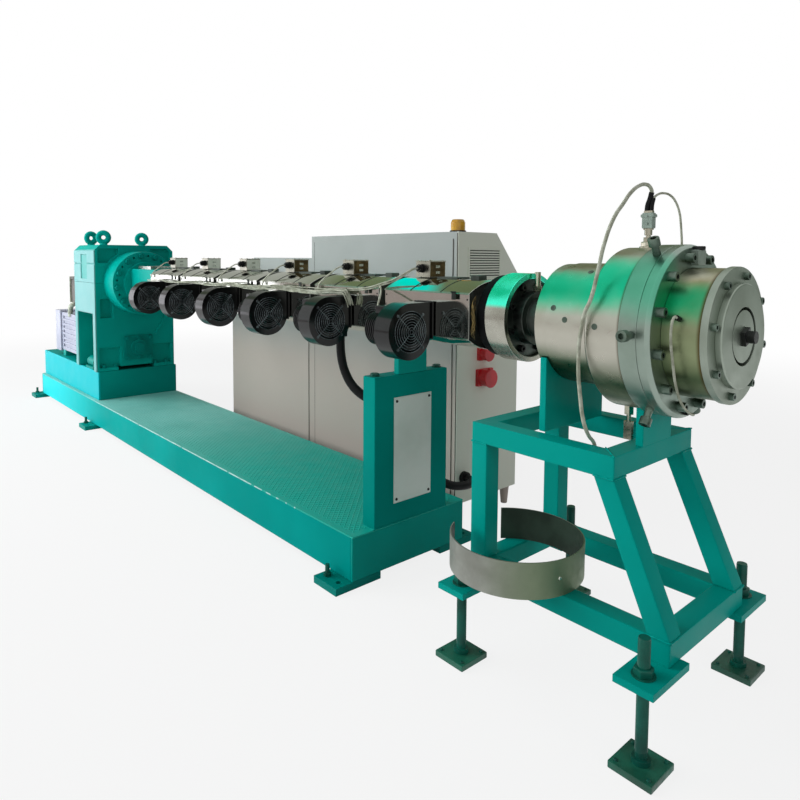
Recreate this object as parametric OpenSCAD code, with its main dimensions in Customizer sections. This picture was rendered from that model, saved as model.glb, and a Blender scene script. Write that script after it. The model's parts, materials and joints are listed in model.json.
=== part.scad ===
// Single-screw plastic extruder: base frame, drive, heated barrel with zone blowers,
// pipe die head on its own stand, and the control console beside it.
// X runs along the barrel towards the die, Y to the far side and Z up from the floor.
// Lengths along X are counted from the front end of the base frame.

/* [Line] */
// Height of the barrel axis above the floor
axis_z = 1100; // [1000:5:1200]
// Number of heating zones along the barrel
zone_n = 6; // [4:1:7]
// Length of one zone cover
cover_l = 450; // [380:5:500]
// Open gap between two zone covers
zone_gap = 40; // [36:1:60]
// Distance of the barrel support behind the front end of the base
support_back = 15; // [15:1:30]
// Free gap kept between pieces that must not touch
clear = 0.3; // [0.2:0.1:0.6]

/* [Base] */
// Width of the base frame
base_w = 630; // [560:5:700]
// Height of the walking deck
deck_z = 211; // [180:1:260]
// Thickness of the chequered deck plate
deck_t = 6; // [4:1:10]
// Flange width of the side channels
rail_flange = 70; // [50:1:90]
// Wall thickness of the side channels
rail_t = 10; // [6:1:14]
// Thickness of the end plates
end_t = 12; // [8:1:16]
// Number of cross members under the deck
cross_n = 6; // [3:1:8]
// Width of one cross member
cross_w = 80; // [50:5:100]

/* [Anchor feet] */
// Length of an anchor foot along the base
foot_l = 150; // [120:5:180]
// Reach of an anchor foot outside the base
foot_out = 80; // [65:1:100]
// Reach of the rear anchor feet behind the base
foot_rear_out = 60; // [30:1:75]
// Distance of the middle anchor feet behind the front of the gearbox
foot_mid_back = 60; // [0:1:120]
// Reach of an anchor foot under the base
foot_in = 145; // [100:5:180]
// Thickness of an anchor foot
foot_t = 30; // [20:1:40]
// Radius of an anchor bolt hole
anchor_r = 11; // [8:0.5:14]
// Radius of a levelling screw
level_r = 9; // [6:0.5:10]
// Height of a levelling screw above its foot
level_h = 48; // [30:1:70]

/* [Drive plinth] */
// Length of the plinth under the drive
plinth_l = 1555; // [1500:5:1700]
// Height of the plinth above the deck
plinth_h = 215; // [180:1:240]
// Step of the plinth behind the near side of the base
plinth_set = 28; // [10:1:60]

/* [Gearbox] */
// Length of the gearbox along the barrel axis
gear_l = 506; // [460:2:560]
// Width of the gearbox
gear_w = 602; // [580:2:620]
// Height of the gearbox above the barrel axis
gear_over = 287; // [270:1:320]
// Width of the bevel on the top edges
gear_bevel = 45; // [20:1:60]
// Thickness of the front and rear flange plates
gear_plate = 60; // [40:1:80]
// Height of the full-width block under the parting line
gear_block_h = 236; // [200:2:260]
// Depth that the lower sides are set in
gear_waist = 130; // [60:2:150]
// Depth of the corner pockets
pocket_d = 32; // [15:1:45]
// Width of the corner pockets
pocket_w = 152; // [120:2:160]
// Height of the lower corner pockets
pocket_h = 152; // [110:2:170]
// Height of the upper corner pockets
pocket_up_h = 108; // [80:2:120]
// Rim left around a pocket
pocket_rim = 28; // [20:1:36]
// Radius of the thrust bearing housing
bearing_r = 236; // [210:1:245]
// Length of the thrust bearing housing
bearing_l = 235; // [200:5:270]
// Radius of the collar on the bearing housing
collar_r = 160; // [140:1:180]
// Length of that collar
collar_l = 26; // [15:1:40]
// Outer radius of a lifting eye
eye_r = 56; // [40:1:60]
// Thickness of a lifting eye's ring
eye_t = 30; // [16:1:34]

/* [Motor] */
// Length of the motor body
motor_l = 510; // [400:5:560]
// Width of the motor body
motor_w = 480; // [400:5:520]
// Height of the motor body
motor_h = 330; // [280:5:370]
// Height of the motor feet
motor_foot_h = 50; // [35:1:70]
// Length of the rear cover of the motor
cowl_l = 150; // [80:5:170]
// Length of the bell between gearbox and motor
bell_l = 120; // [60:1:150]
// Length of the terminal box on the motor
term_l = 250; // [150:5:300]
// Width of the terminal box on the motor
term_w = 260; // [200:5:300]
// Top of the terminal box above the motor
term_h = 318; // [200:2:330]

/* [Barrel] */
// Length of the feed section
feed_l = 465; // [420:5:520]
// Side of the square feed section
feed_w = 220; // [190:2:240]
// Radius of the feed port
port_r = 50; // [35:1:60]
// Thickness of the hopper flange
hopper_t = 22; // [15:1:30]
// Length of the hopper flange along the barrel
hopper_l = 240; // [200:5:280]
// Width of the hopper flange
hopper_w = 200; // [190:5:220]
// Distance of the hopper bolts from the flange edge
hopper_edge = 25; // [20:1:30]
// Radius of a hopper bolt hole
hopper_hole_r = 6.5; // [5:0.5:9]
// Radius of the barrel
barrel_r = 80; // [70:1:90]
// Radius of the cast heaters
heater_r = 118; // [105:1:122]
// Width of the zone covers
cover_w = 320; // [300:2:340]
// Height of the flat sides of the zone covers
cover_side = 163; // [140:1:180]
// Full height of the zone covers
cover_h = 254; // [240:2:290]
// Sheet thickness of the zone covers
cover_t = 2; // [1.5:0.5:4]
// Reach of the turned lip along the cover
cover_lip = 6; // [4:1:10]

/* [Zone boxes] */
// Length of a junction box along the barrel
jbox_l = 80; // [60:2:100]
// Width of a junction box
jbox_w = 86; // [60:2:110]
// Height of a junction box
jbox_h = 64; // [50:1:80]
// Start of a junction box from the rear end of its cover
jbox_at = 55; // [40:1:70]
// Radius of its cable gland
gland_r = 13; // [8:1:16]
// Length of its cable gland
gland_l = 24; // [15:1:30]

/* [Zone blowers] */
// Radius of the blower scroll
scroll_r = 102; // [96:1:115]
// Width of the blower scroll
scroll_w = 82; // [74:1:110]
// Distance of the blower axis from the side of the cover
blower_out = 110; // [108:1:140]
// Height of the blower axis under the barrel axis
blower_drop = 60; // [45:1:64]
// Start of the scroll from the rear end of its cover
blower_at = 190; // [170:1:220]
// Height of the blower outlet
outlet_h = 126; // [100:2:140]
// Radius of the blower inlet
inlet_r = 72; // [60:1:80]
// Depth of the blower inlet
inlet_d = 60; // [40:1:70]
// Radius of the blower motor
fan_motor_r = 63; // [50:1:72]
// Length of the blower motor
fan_motor_l = 118; // [90:2:130]
// Number of rings in an inlet grille
grille_n = 8; // [4:1:9]
// Wire size of an inlet grille
wire_t = 3; // [2:0.5:4]

/* [Barrel end] */
// Gap between the last cover and the barrel flange
end_gap = 20; // [10:1:30]
// Radius of the barrel flange
flange_r = 144; // [130:1:148]
// Length of the barrel flange
flange_l = 43; // [30:1:60]
// Radius of the clamp ring
clamp_r = 153; // [149:1:170]
// Length of the clamp ring
clamp_l = 87; // [60:1:110]
// Radius of the adapter face inside the clamp ring
adapter_r = 134; // [120:1:138]
// Depth of the adapter face behind the front of the clamp ring
adapter_in = 14; // [6:1:20]
// Radius of the adapter hub
hub_r = 92; // [80:1:100]
// Length of the adapter hub
hub_l = 40; // [25:1:60]
// Radius of the adapter neck
neck_r = 68; // [50:1:75]
// Length of the adapter from clamp ring to die
adapter_l = 146; // [120:1:180]

/* [Die head] */
// Radius of the rear disc
disc_r = 187; // [180:1:195]
// Length of the rear disc
disc_l = 40; // [30:1:50]
// Radius of the slim rear body
body_r = 190; // [180:1:200]
// Length of the slim rear body
body_l = 161; // [120:1:200]
// Radius of the main body
main_r = 238; // [225:1:242]
// Length of the main body
main_l = 115; // [90:1:140]
// Radius of the clamp flanges
pair_r = 246; // [243:1:260]
// Length of the rear clamp flange
pair_rear_l = 53; // [40:1:70]
// Length of the front clamp flange
pair_front_l = 34; // [25:1:45]
// Radius of the outer die holder
holder_r = 181; // [170:1:190]
// Length of the outer die holder
holder_l = 104; // [80:1:130]
// Radius of the retaining ring
retain_r = 186; // [182:1:195]
// Length of the retaining ring
retain_l = 20; // [14:1:30]
// Radius of the die bush
bush_r = 142; // [130:1:152]
// Length of the die bush in front of the retaining ring
bush_l = 18; // [14:1:40]
// Radius of the die opening
lip_r = 79; // [70:1:90]
// Width of the annular die gap
lip_gap = 8; // [4:0.5:12]
// Depth of the annular die gap
lip_d = 60; // [30:1:70]
// Side of the square drawbar head in the mandrel
drawbar_w = 40; // [30:1:50]
// Reach of the drawbar in front of the mandrel
drawbar_l = 30; // [20:1:60]

/* [Melt probes] */
// Distance of the upper melt probe behind the rear clamp flange
probe_back = 50; // [22:1:60]
// Distance of the lower melt probe behind the rear clamp flange
probe_low_back = 95; // [85:1:100]
// Width across the flats of a probe nut
probe_nut = 26; // [18:1:32]
// Height of a probe nut
probe_nut_h = 30; // [20:1:40]
// Radius of a probe stem
probe_stem_r = 7; // [5:0.5:9]
// Length of a probe stem
probe_stem_l = 22; // [12:1:30]
// Length of a probe plug
probe_plug_l = 56; // [40:1:70]

/* [Support post] */
// Width of the support post
post_w = 409; // [380:1:440]
// Depth of the support post
post_d = 77; // [60:1:90]
// Height of the support post above the deck
post_h = 616; // [580:2:640]
// Width of the grey cover on the post
post_cover_w = 210; // [160:2:240]
// Height of the grey cover on the post
post_cover_h = 440; // [380:2:480]
// Thickness of the grey cover
post_cover_t = 4; // [2:0.5:6]
// Drop of the grey cover under the post top
post_cover_drop = 92; // [60:2:120]
// Thickness of the barrel saddle
saddle_t = 30; // [22:1:32]
// Width of the barrel saddle at its foot
saddle_w = 160; // [150:2:220]

/* [Die stand] */
// Size of the square tube
tube = 65; // [50:1:70]
// Length of the top frame
stand_l = 520; // [460:5:560]
// Width of the stand
stand_w = 468; // [420:2:520]
// Height of the top frame
stand_z = 765; // [740:1:790]
// Reach of the sloped legs in front of the top frame
splay = 172; // [120:2:200]
// Height of the top of the lower rails
low_z = 315; // [280:2:340]
// Thickness of the two die saddles
rest_t = 24; // [16:1:32]
// Width of the rear die saddle
rest_w = 326; // [280:2:340]
// Width of the front die saddle
rest_front_w = 172; // [150:2:220]
// Side of the corner bracket plates
bracket_w = 110; // [90:2:140]
// Thickness of the corner bracket plates
bracket_t = 20; // [12:1:25]
// Reach of the jack screws outside the stand
jack_out = 73; // [68:1:90]
// Radius of the jack screws
jack_r = 15; // [10:1:18]
// Reach of the jack screws above the brackets
jack_up = 100; // [45:1:140]
// Side of the square foot pads
pad_w = 120; // [90:2:140]
// Thickness of the foot pads
pad_t = 20; // [12:1:25]

/* [Heater band] */
// Inner radius of the die heater band resting on the stand
band_r = 208; // [196:1:215]
// Width of the heater band
band_h = 110; // [90:1:130]
// Thickness of the heater band
band_t = 5; // [3:0.5:8]
// Open part of the heater band in degrees
band_open = 62; // [40:1:90]

/* [Console] */
// Width of the tall console
con_w = 1240; // [1100:10:1300]
// Depth of the console
con_d = 458; // [420:2:500]
// Height of the console top
con_z = 1430; // [1350:5:1500]
// Height of the console feet
con_foot = 100; // [80:1:120]
// Distance of the console behind the base frame
con_gap = 132; // [120:2:180]
// Distance of the console behind the front end of the base
con_back = 170; // [120:5:220]
// Depth of the sloped operator panel
slope_d = 180; // [140:2:220]
// Height of the sloped operator panel
slope_h = 212; // [160:2:240]
// Width of the low side module
side_w = 1045; // [900:5:1150]
// Height of the low side module's top
side_z = 1190; // [1120:5:1260]
// Width of the vent box on the side module
vent_w = 780; // [600:5:860]
// Height of the vent box
vent_h = 108; // [80:2:130]
// Thickness of the panels on the console
panel_t = 3; // [2:0.5:6]
// Rim around the console panels
panel_rim = 33; // [20:1:45]
// Number of louvre blades
louvre_n = 11; // [6:1:14]
// Width of the louvre
louvre_w = 220; // [180:2:240]
// Height of the louvre
louvre_h = 134; // [110:2:160]
// Radius of the machine sockets
socket_r = 42; // [30:1:50]
// Reach of the machine sockets
socket_l = 62; // [40:1:80]
// Radius of the beacon
beacon_r = 35; // [25:1:40]
// Height of the beacon
beacon_h = 62; // [45:1:80]

/* [Cables] */
// Diameter of the corrugated conduit
conduit_d = 40; // [20:1:44]
// Diameter of the braided die lead
lead_d = 11; // [8:1:14]
// Diameter of the thin probe lead
thin_d = 7; // [5:1:9]
// Diameter of the zone cables
zone_cable_d = 9; // [6:1:12]
// Diameter of the wiring bundle along the covers
bundle_d = 22; // [16:1:26]

/* [Hidden] */
$fn = 64;
eps = 1;
cable_sides = 8;
conduit_sides = 10;
teal = "#00857d";
teal_dark = "#00756e";
deck_green = "#3f9d86";
steel = "#8d9488";
bright = "#c9ccc6";
black = "#1b1d1e";
console_grey = "#b9bdba";
motor_grey = "#b7bacb";

// Places along X, worked out from the barrel support
zone_pitch = cover_l + zone_gap;
support_x = -support_back;
zone0_x = support_x + zone_gap / 2 - (zone_n - 1) * zone_pitch;
covers_end_x = zone0_x + (zone_n - 1) * zone_pitch + cover_l;
feed_front_x = zone0_x - zone_gap;
bearing_front_x = feed_front_x - feed_l;
gear_front_x = bearing_front_x - bearing_l;
gear_rear_x = gear_front_x - gear_l;
base_rear_x = gear_front_x - plinth_l;
flange_x = covers_end_x + end_gap;
clamp_x = flange_x + flange_l;
clamp_front_x = clamp_x + clamp_l;
die_x = clamp_front_x + adapter_l;
body_x = die_x + disc_l;
main_x = body_x + body_l;
pair_x = main_x + main_l;
pair_mid_x = pair_x + pair_rear_l;
holder_x = pair_mid_x + pair_front_l;
retain_x = holder_x + holder_l;
bush_x = retain_x + retain_l;
tip_x = bush_x + bush_l;

// Places across and up
base_half = base_w / 2;
plinth_z = deck_z + plinth_h;
plinth_near_y = -base_half + plinth_set;
gear_half = gear_w / 2;
gear_top_z = axis_z + gear_over;
gear_block_z = axis_z - gear_block_h;
slot_h = 28;
slot_w = 270;
post_top_z = deck_z + post_h;
cover_half = cover_w / 2;
cover_crown_z = axis_z + cover_h / 2;
cover_rise = (cover_h - cover_side) / 2;
cover_arc = (cover_half * cover_half + cover_rise * cover_rise) / (2 * cover_rise);
blower_y = -cover_half - blower_out;
blower_z = axis_z - blower_drop;
motor_z = plinth_z + motor_foot_h;
motor_top_z = motor_z + motor_h;

// Die stand places: the rear saddle carries the rear disc, the front one the main body
rest_x = die_x + (disc_l - rest_t) / 2;
rest_front_x = pair_x - rest_t - 2;
stand_front_x = pair_x - 5;
stand_rear_x = stand_front_x - stand_l;
stand_half = stand_w / 2;
low_bottom_z = low_z - tube;
low_front_x = stand_front_x + splay;
stand_jack_y = stand_half + jack_out;
stand_jack_xs = [stand_rear_x + tube / 2, low_front_x - tube / 2];
band_x = stand_rear_x + 158;
band_y = -stand_half + 44;

// Console places
con_front_x = -con_back;
con_rear_x = con_front_x - con_w;
con_near_y = base_half + con_gap;
con_far_y = con_near_y + con_d;
side_rear_x = con_rear_x - side_w;
vent_x = con_rear_x - vent_w;

// Overall box, used to put the origin at the middle of the floor area
x_low = base_rear_x - foot_rear_out;
x_high = tip_x + drawbar_l;
y_low = min(-base_half - foot_out, blower_y - scroll_r);
y_high = con_far_y;
x_mid = (x_low + x_high) / 2;
y_mid = (y_low + y_high) / 2;

// Cable routes, chosen by hand
conduit_route = [
    [-330, -130, 958], [-330, -130, 925], [-326, -130, 880], [-314, -129, 835], [-294, -127, 795],
    [-266, -122, 758], [-232, -112, 728], [-196, -94, 704], [-164, -66, 682], [-142, -30, 656],
    [-130, 12, 622], [-124, 56, 580], [-122, 100, 530], [-124, 142, 476], [-128, 182, 420],
    [-130, 220, 364], [-128, 256, 312], [-120, 290, 274], [-106, 324, 250], [-88, 360, 238],
    [-76, 400, 233], [-78, 440, 230], [-90, 474, 229], [-110, 494, 228], [-132, 500, 228], [-148, 500, 228]
];
last_tail_route = [
    [100, -67, 1262], [92, -84, 1259], [78, -100, 1246], [58, -118, 1228], [34, -134, 1212],
    [6, -148, 1201], [-26, -160, 1191], [-64, -171, 1179], [-104, -175, 1173], [-144, -176, 1173],
    [-180, -176, 1173], [-213, -176, 1173]
];
lead_near_route = [
    [1011, 0, 1446], [1012, 1, 1462], [1016, 5, 1480], [1021, 5, 1500], [1022, -8, 1514],
    [1021, -34, 1520], [1017, -65, 1513], [1012, -100, 1491], [1008, -135, 1456], [1003, -154, 1434],
    [999, -170, 1409], [996, -183, 1384], [994, -195, 1356], [992, -206, 1326], [991, -215, 1296],
    [990, -228, 1256], [984, -246, 1192], [971, -252, 1157], [962, -255, 1105], [956, -254, 1070],
    [954, -252, 1034], [952, -249, 1003], [951, -245, 972], [950, -238, 938], [950, -231, 904],
    [951, -222, 860], [953, -206, 818], [954, -186, 790], [954, -168, 775], [954, -157, 758], [954, -155, 735]
];
lead_far_route = [
    [1025, 0, 1446], [1025, 2, 1464], [1026, 8, 1482], [1031, 22, 1494], [1038, 50, 1499],
    [1044, 80, 1492], [1048, 104, 1473], [1050, 124, 1443], [1050, 132, 1420], [1050, 138, 1394],
    [1049, 146, 1360], [1048, 150, 1334], [1048, 150, 1310]
];
probe_wire_route = [
    [1200, -189, 1154], [1200, -198, 1157], [1199, -205, 1152], [1197, -209, 1136], [1195, -207, 1108],
    [1196, -205, 1075], [1198, -200, 1046], [1199, -194, 1018], [1197, -182, 991], [1195, -166, 966],
    [1192, -148, 944], [1190, -128, 924], [1190, -98, 899], [1190, -64, 881], [1186, -40, 875],
    [1178, -28, 874], [1166, -28, 874]
];

wire_start = probe_wire_route[0];
wire_r = norm([wire_start[1], wire_start[2] - axis_z]);
wire_rise = atan2(wire_start[2] - axis_z, -wire_start[1]);
socket_half = 1.4 * lead_d;

// Shared helpers

module place() translate([-x_mid, -y_mid, 0]) children();

module along_x(x, y = 0, z = axis_z) translate([x, y, z]) rotate([0, 90, 0]) children();

module disc(x, l, r) along_x(x) cylinder(r = r, h = l);

module ring(x, l, r, hole) {
    difference() {
        disc(x, l, r);
        disc(x - eps, l + 2 * eps, hole);
    }
}

// Box given by its low and high corner
module block(low, high) translate(low) cube(high - low);

function unit(v) = v / norm(v);

function heading(p, i) = unit(p[min(i + 1, len(p) - 1)] - p[max(i - 1, 0)]);

function level(v, t) = unit(v - t * (v * t));

function sides_of(p, i = 0, v = [0.31, 0.87, 0.38]) =
    i == len(p) ? [] :
    let (n = level(v, heading(p, i))) concat([n], sides_of(p, i + 1, n));

// Round tube swept along a list of points
module sweep(p, d, sides = cable_sides) {
    n = sides_of(p);
    points = [
        for (i = [0 : len(p) - 1]) for (k = [0 : sides - 1])
            let (m = cross(heading(p, i), n[i]), a = 360 * k / sides)
            p[i] + (n[i] * cos(a) + m * sin(a)) * d / 2
    ];
    walls = [
        for (i = [0 : len(p) - 2]) for (k = [0 : sides - 1]) for (half = [0, 1])
            let (a = i * sides + k, b = i * sides + (k + 1) % sides)
            half == 0 ? [a, a + sides, b] : [b, a + sides, b + sides]
    ];
    last = (len(p) - 1) * sides;
    caps = [[for (k = [0 : sides - 1]) k], [for (k = [sides - 1 : -1 : 0]) last + k]];
    polyhedron(points, concat(walls, caps));
}

function zone_x(i) = zone0_x + i * zone_pitch;

module each_zone() for (i = [0 : zone_n - 1]) translate([zone_x(i), 0, 0]) children();

// Base frame

function foot_xs() =
    [base_rear_x - foot_rear_out + foot_l / 2, gear_front_x - foot_mid_back, -foot_l / 2];

module base_side_rails() {
    color(teal) place() for (side = [-1, 1]) {
        difference() {
            translate([base_rear_x + end_t, side > 0 ? base_half - rail_flange : -base_half, foot_t])
                cube([-base_rear_x - 2 * end_t, rail_flange, deck_z - deck_t - foot_t]);
            translate([base_rear_x, side > 0 ? base_half - rail_flange - eps : -base_half + rail_t,
                foot_t + rail_t])
                cube([-base_rear_x, rail_flange - rail_t + eps, deck_z - deck_t - foot_t - 2 * rail_t]);
        }
    }
}

// Plates across both ends and the cross members under the deck
module base_cross_plates() {
    span = -base_rear_x - 2 * end_t - cross_w;
    color(teal_dark) place() {
        for (x = [base_rear_x, -end_t])
            block([x, -base_half, foot_t], [x + end_t, base_half, deck_z - deck_t]);
        for (i = [1 : cross_n]) {
            x = base_rear_x + end_t + span * i / (cross_n + 1);
            block([x, -base_half + rail_flange, foot_t],
                [x + cross_w, base_half - rail_flange, deck_z - deck_t]);
        }
    }
}

module deck_plate() {
    color(deck_green) place()
        block([base_rear_x, -base_half, deck_z - deck_t], [0, base_half, deck_z]);
}

module anchor_feet() {
    hole_y = base_half + foot_out / 2;
    color(teal) place() for (x = foot_xs()) for (side = [-1, 1]) {
        low_y = side < 0 ? -base_half - foot_out : base_half - foot_in;
        difference() {
            block([x - foot_l / 2, low_y, 0], [x + foot_l / 2, low_y + foot_out + foot_in, foot_t]);
            translate([x + foot_l / 4, side * hole_y, -eps]) cylinder(r = anchor_r, h = foot_t + 2 * eps);
        }
    }
}

// Short screws in the anchor feet and the long jack screws of the die stand
module levelling_screws() {
    screw_y = base_half + foot_out / 2;
    nut_h = jack_r * 1.2;
    color(black) place() for (side = [-1, 1]) {
        for (x = foot_xs()) translate([x - foot_l / 4, side * screw_y, foot_t]) {
            cylinder(r = level_r, h = level_h);
            cylinder(r = level_r * 1.8, h = level_r * 1.6, $fn = 6);
        }
        for (x = stand_jack_xs) translate([x, side * stand_jack_y, pad_t]) {
            cylinder(r = jack_r, h = low_bottom_z - pad_t + jack_up, $fn = 32);
            translate([0, 0, low_bottom_z - bracket_t - pad_t - nut_h])
                cylinder(r = jack_r * 1.7, h = nut_h, $fn = 6);
            cylinder(r = jack_r * 1.6, h = nut_h * 0.8, $fn = 32);
        }
    }
}

// Drive

module drive_plinth() {
    color(teal) place()
        block([base_rear_x, plinth_near_y, deck_z], [gear_front_x, base_half, plinth_z]);
}

module gearbox_lower_housing() {
    waist = gear_half - gear_waist;
    pocket_z = plinth_z + pocket_rim;
    side_z = gear_block_z - gear_plate / 2;
    color(teal) place() difference() {
        union() {
            block([gear_rear_x, -gear_half, gear_block_z], [gear_front_x, gear_half, axis_z]);
            block([gear_rear_x, -waist, plinth_z], [gear_front_x, waist, gear_block_z + eps]);
            for (x = [gear_rear_x, gear_front_x - gear_plate])
                block([x, -gear_half, plinth_z], [x + gear_plate, gear_half, gear_block_z + eps]);
        }
        // Arched gap between the two feet
        block([gear_rear_x - eps, -slot_w / 2, plinth_z - eps],
            [gear_front_x + eps, slot_w / 2, plinth_z + slot_h]);
        // Lower corner pockets round the holding-down bolts
        for (side = [-1, 1]) {
            low_y = side < 0 ? -gear_half + pocket_rim : gear_half - pocket_rim - pocket_w;
            block([gear_front_x - pocket_d, low_y, pocket_z],
                [gear_front_x + eps, low_y + pocket_w, pocket_z + pocket_h]);
        }
        // Inspection recess beside the bearing housing
        block([gear_front_x - pocket_d, -gear_half + 1.4 * pocket_rim, side_z],
            [gear_front_x + eps, -gear_half + 1.4 * pocket_rim + pocket_w * 0.58, side_z + pocket_h * 0.95]);
    }
}

module gearbox_upper_housing() {
    pocket_z = gear_top_z - pocket_rim;
    mid_x = (gear_front_x + gear_rear_x) / 2;
    joint_z = axis_z + gear_over / 2;
    joint = pocket_rim / 4;
    color(teal) place() difference() {
        translate([gear_rear_x, 0, 0]) rotate([90, 0, 90]) linear_extrude(gear_l) polygon([
            [-gear_half, axis_z], [gear_half, axis_z], [gear_half, gear_top_z - gear_bevel],
            [gear_half - gear_bevel, gear_top_z], [-gear_half + gear_bevel, gear_top_z],
            [-gear_half, gear_top_z - gear_bevel]
        ]);
        // Upright recess between the two bolt columns and the joint line on each side
        for (side = [-1, 1]) {
            translate([mid_x - pocket_w / 2, side * gear_half - joint, axis_z + pocket_rim])
                cube([pocket_w, 2 * joint, gear_over - gear_bevel - 2 * pocket_rim]);
            translate([gear_rear_x - eps, side * gear_half - joint, joint_z - joint / 2])
                cube([gear_l + 2 * eps, 2 * joint, joint]);
        }
        for (side = [-1, 1]) {
            low_y = side < 0 ? -gear_half + pocket_rim : gear_half - pocket_rim - pocket_w;
            difference() {
                block([gear_front_x - pocket_d, low_y, pocket_z - pocket_up_h],
                    [gear_front_x + eps, low_y + pocket_w, pocket_z]);
                along_x(gear_front_x - pocket_d - eps)
                    cylinder(r = bearing_r + pocket_rim / 2, h = pocket_d + 3 * eps);
                // Corner left standing behind the bevel
                translate([gear_front_x - pocket_d - eps, side * gear_half, gear_top_z])
                    rotate([45, 0, 0]) translate([0, -gear_bevel * 1.2, -gear_bevel * 1.2])
                    cube([pocket_d + 3 * eps, gear_bevel * 2.4, gear_bevel * 2.4]);
            }
        }
    }
}

module bearing_housing() {
    color(teal) place() {
        disc(gear_front_x, bearing_l - collar_l, bearing_r);
        disc(gear_front_x, bearing_l, collar_r);
    }
}

module lifting_eyes() {
    eye_y = gear_half - gear_bevel - eye_r;
    rear_x = gear_rear_x + 2 * eye_r;
    front_x = gear_front_x - 1.6 * eye_r;
    shank_r = eye_t * 0.7;
    ring_z = gear_top_z + eye_r + eye_t / 2;
    // Two eyes at the rear and one at the near front, each screwed in to its own turn
    eyes = [[rear_x, -eye_y, 17], [rear_x, eye_y, -20], [front_x, -eye_y, -25]];
    color(teal) place() for (eye = eyes) {
        translate([eye[0], eye[1], ring_z]) rotate([0, 90, eye[2]])
            rotate_extrude() translate([eye_r - eye_t / 2, 0]) circle(d = eye_t, $fn = 24);
        translate([eye[0], eye[1], gear_top_z]) cylinder(r = shank_r, h = eye_t, $fn = 24);
    }
}

module gearbox_front_cover() {
    cover_y = 15;
    cover_z = plinth_z + 169;
    wide = 214;
    high = 184;
    plate = 14;
    color(teal_dark) place() {
        block([gear_front_x, cover_y - wide / 2, cover_z - high / 2],
            [gear_front_x + plate, cover_y + wide / 2, cover_z + high / 2]);
        along_x(gear_front_x, cover_y, cover_z) cylinder(r = high * 0.34, h = plate + 16);
        along_x(gear_front_x, cover_y, cover_z) cylinder(r = high * 0.2, h = plate + 30);
    }
}

module oil_pump() {
    pump_x = gear_front_x - gear_plate - 170;
    pump_y = -gear_half + gear_waist / 2;
    pump_r = gear_waist * 0.3;
    color(steel) place() {
        block([pump_x - 90, pump_y - pump_r * 1.15, plinth_z],
            [pump_x + 90, pump_y + pump_r * 1.15, plinth_z + 18]);
        along_x(pump_x - 80, pump_y, plinth_z + 12 + pump_r) cylinder(r = pump_r, h = 150);
        translate([pump_x + 40, pump_y, plinth_z + 12 + pump_r]) cylinder(r = 14, h = pump_r + 60, $fn = 24);
    }
}

module motor_bell() {
    color(teal) place()
        along_x(gear_rear_x - bell_l, 0, motor_z + motor_h / 2) cylinder(r = motor_h * 0.48, h = bell_l);
}

module motor_body() {
    fin_n = 7;
    fin_d = 9;
    fin_end = 40;
    step = motor_h / (fin_n + 1);
    body_front = gear_rear_x - bell_l;
    color(motor_grey) place() difference() {
        block([body_front - motor_l, -motor_w / 2, motor_z], [body_front, motor_w / 2, motor_top_z]);
        // Grooves between the cooling fins on both sides
        for (side = [-1, 1]) for (i = [1 : fin_n])
            block([body_front - motor_l + fin_end, side * motor_w / 2 - fin_d, motor_z + (i - 0.3) * step],
                [body_front - fin_end, side * motor_w / 2 + fin_d, motor_z + (i + 0.3) * step]);
    }
}

module motor_rear_cover() {
    rim = 14;
    front = gear_rear_x - bell_l - motor_l;
    color(motor_grey) place() difference() {
        block([front - cowl_l, -motor_w / 2 - rim, motor_z - rim],
            [front, motor_w / 2 + rim, motor_top_z + rim]);
        along_x(front - cowl_l - eps, 0, motor_z + motor_h / 2)
            cylinder(r = motor_h * 0.36, h = cowl_l * 0.4);
    }
}

module motor_feet() {
    foot = 70;
    body_front = gear_rear_x - bell_l;
    color(teal) place() for (x = [body_front - motor_l + 20, body_front - 20 - foot])
        block([x, -motor_w / 2, plinth_z], [x + foot, motor_w / 2, motor_z]);
}

module motor_terminal_box() {
    body_front = gear_rear_x - bell_l;
    lid = 18;
    neck_in = 50;
    box_z = motor_top_z + term_h * 0.27;
    color("#4a4742") place() {
        // The box stands on a narrower neck
        block([body_front - term_l + neck_in, -motor_w / 2 + lid + neck_in, motor_top_z],
            [body_front - lid - neck_in, -motor_w / 2 + lid + term_w - neck_in, box_z]);
        block([body_front - term_l - lid, -motor_w / 2 + lid, box_z],
            [body_front - lid, -motor_w / 2 + lid + term_w, motor_top_z + term_h - lid]);
        block([body_front - term_l - lid * 1.5, -motor_w / 2 + lid / 2, motor_top_z + term_h - lid],
            [body_front - lid / 2, -motor_w / 2 + lid * 1.5 + term_w, motor_top_z + term_h]);
    }
}

// Barrel

module feed_section() {
    half = feed_w / 2;
    port_x = bearing_front_x + feed_l / 2;
    color(teal) place() difference() {
        block([bearing_front_x, -half, axis_z - half], [feed_front_x, half, axis_z + half]);
        translate([port_x, 0, axis_z]) cylinder(r = port_r, h = half + eps);
    }
}

module hopper_flange() {
    port_x = bearing_front_x + feed_l / 2;
    top_z = axis_z + feed_w / 2;
    bolt_x = hopper_l / 2 - hopper_edge;
    bolt_y = hopper_w / 2 - hopper_edge;
    color(steel) place() difference() {
        block([port_x - hopper_l / 2, -hopper_w / 2, top_z],
            [port_x + hopper_l / 2, hopper_w / 2, top_z + hopper_t]);
        translate([port_x, 0, top_z - eps]) cylinder(r = port_r, h = hopper_t + 2 * eps);
        for (i = [-1, 1]) for (j = [-1, 1])
            translate([port_x + i * bolt_x, j * bolt_y, top_z - eps])
                cylinder(r = hopper_hole_r, h = hopper_t + 2 * eps, $fn = 24);
    }
}

module barrel() {
    color(steel) place() disc(feed_front_x, flange_x - feed_front_x, barrel_r);
}

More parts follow.
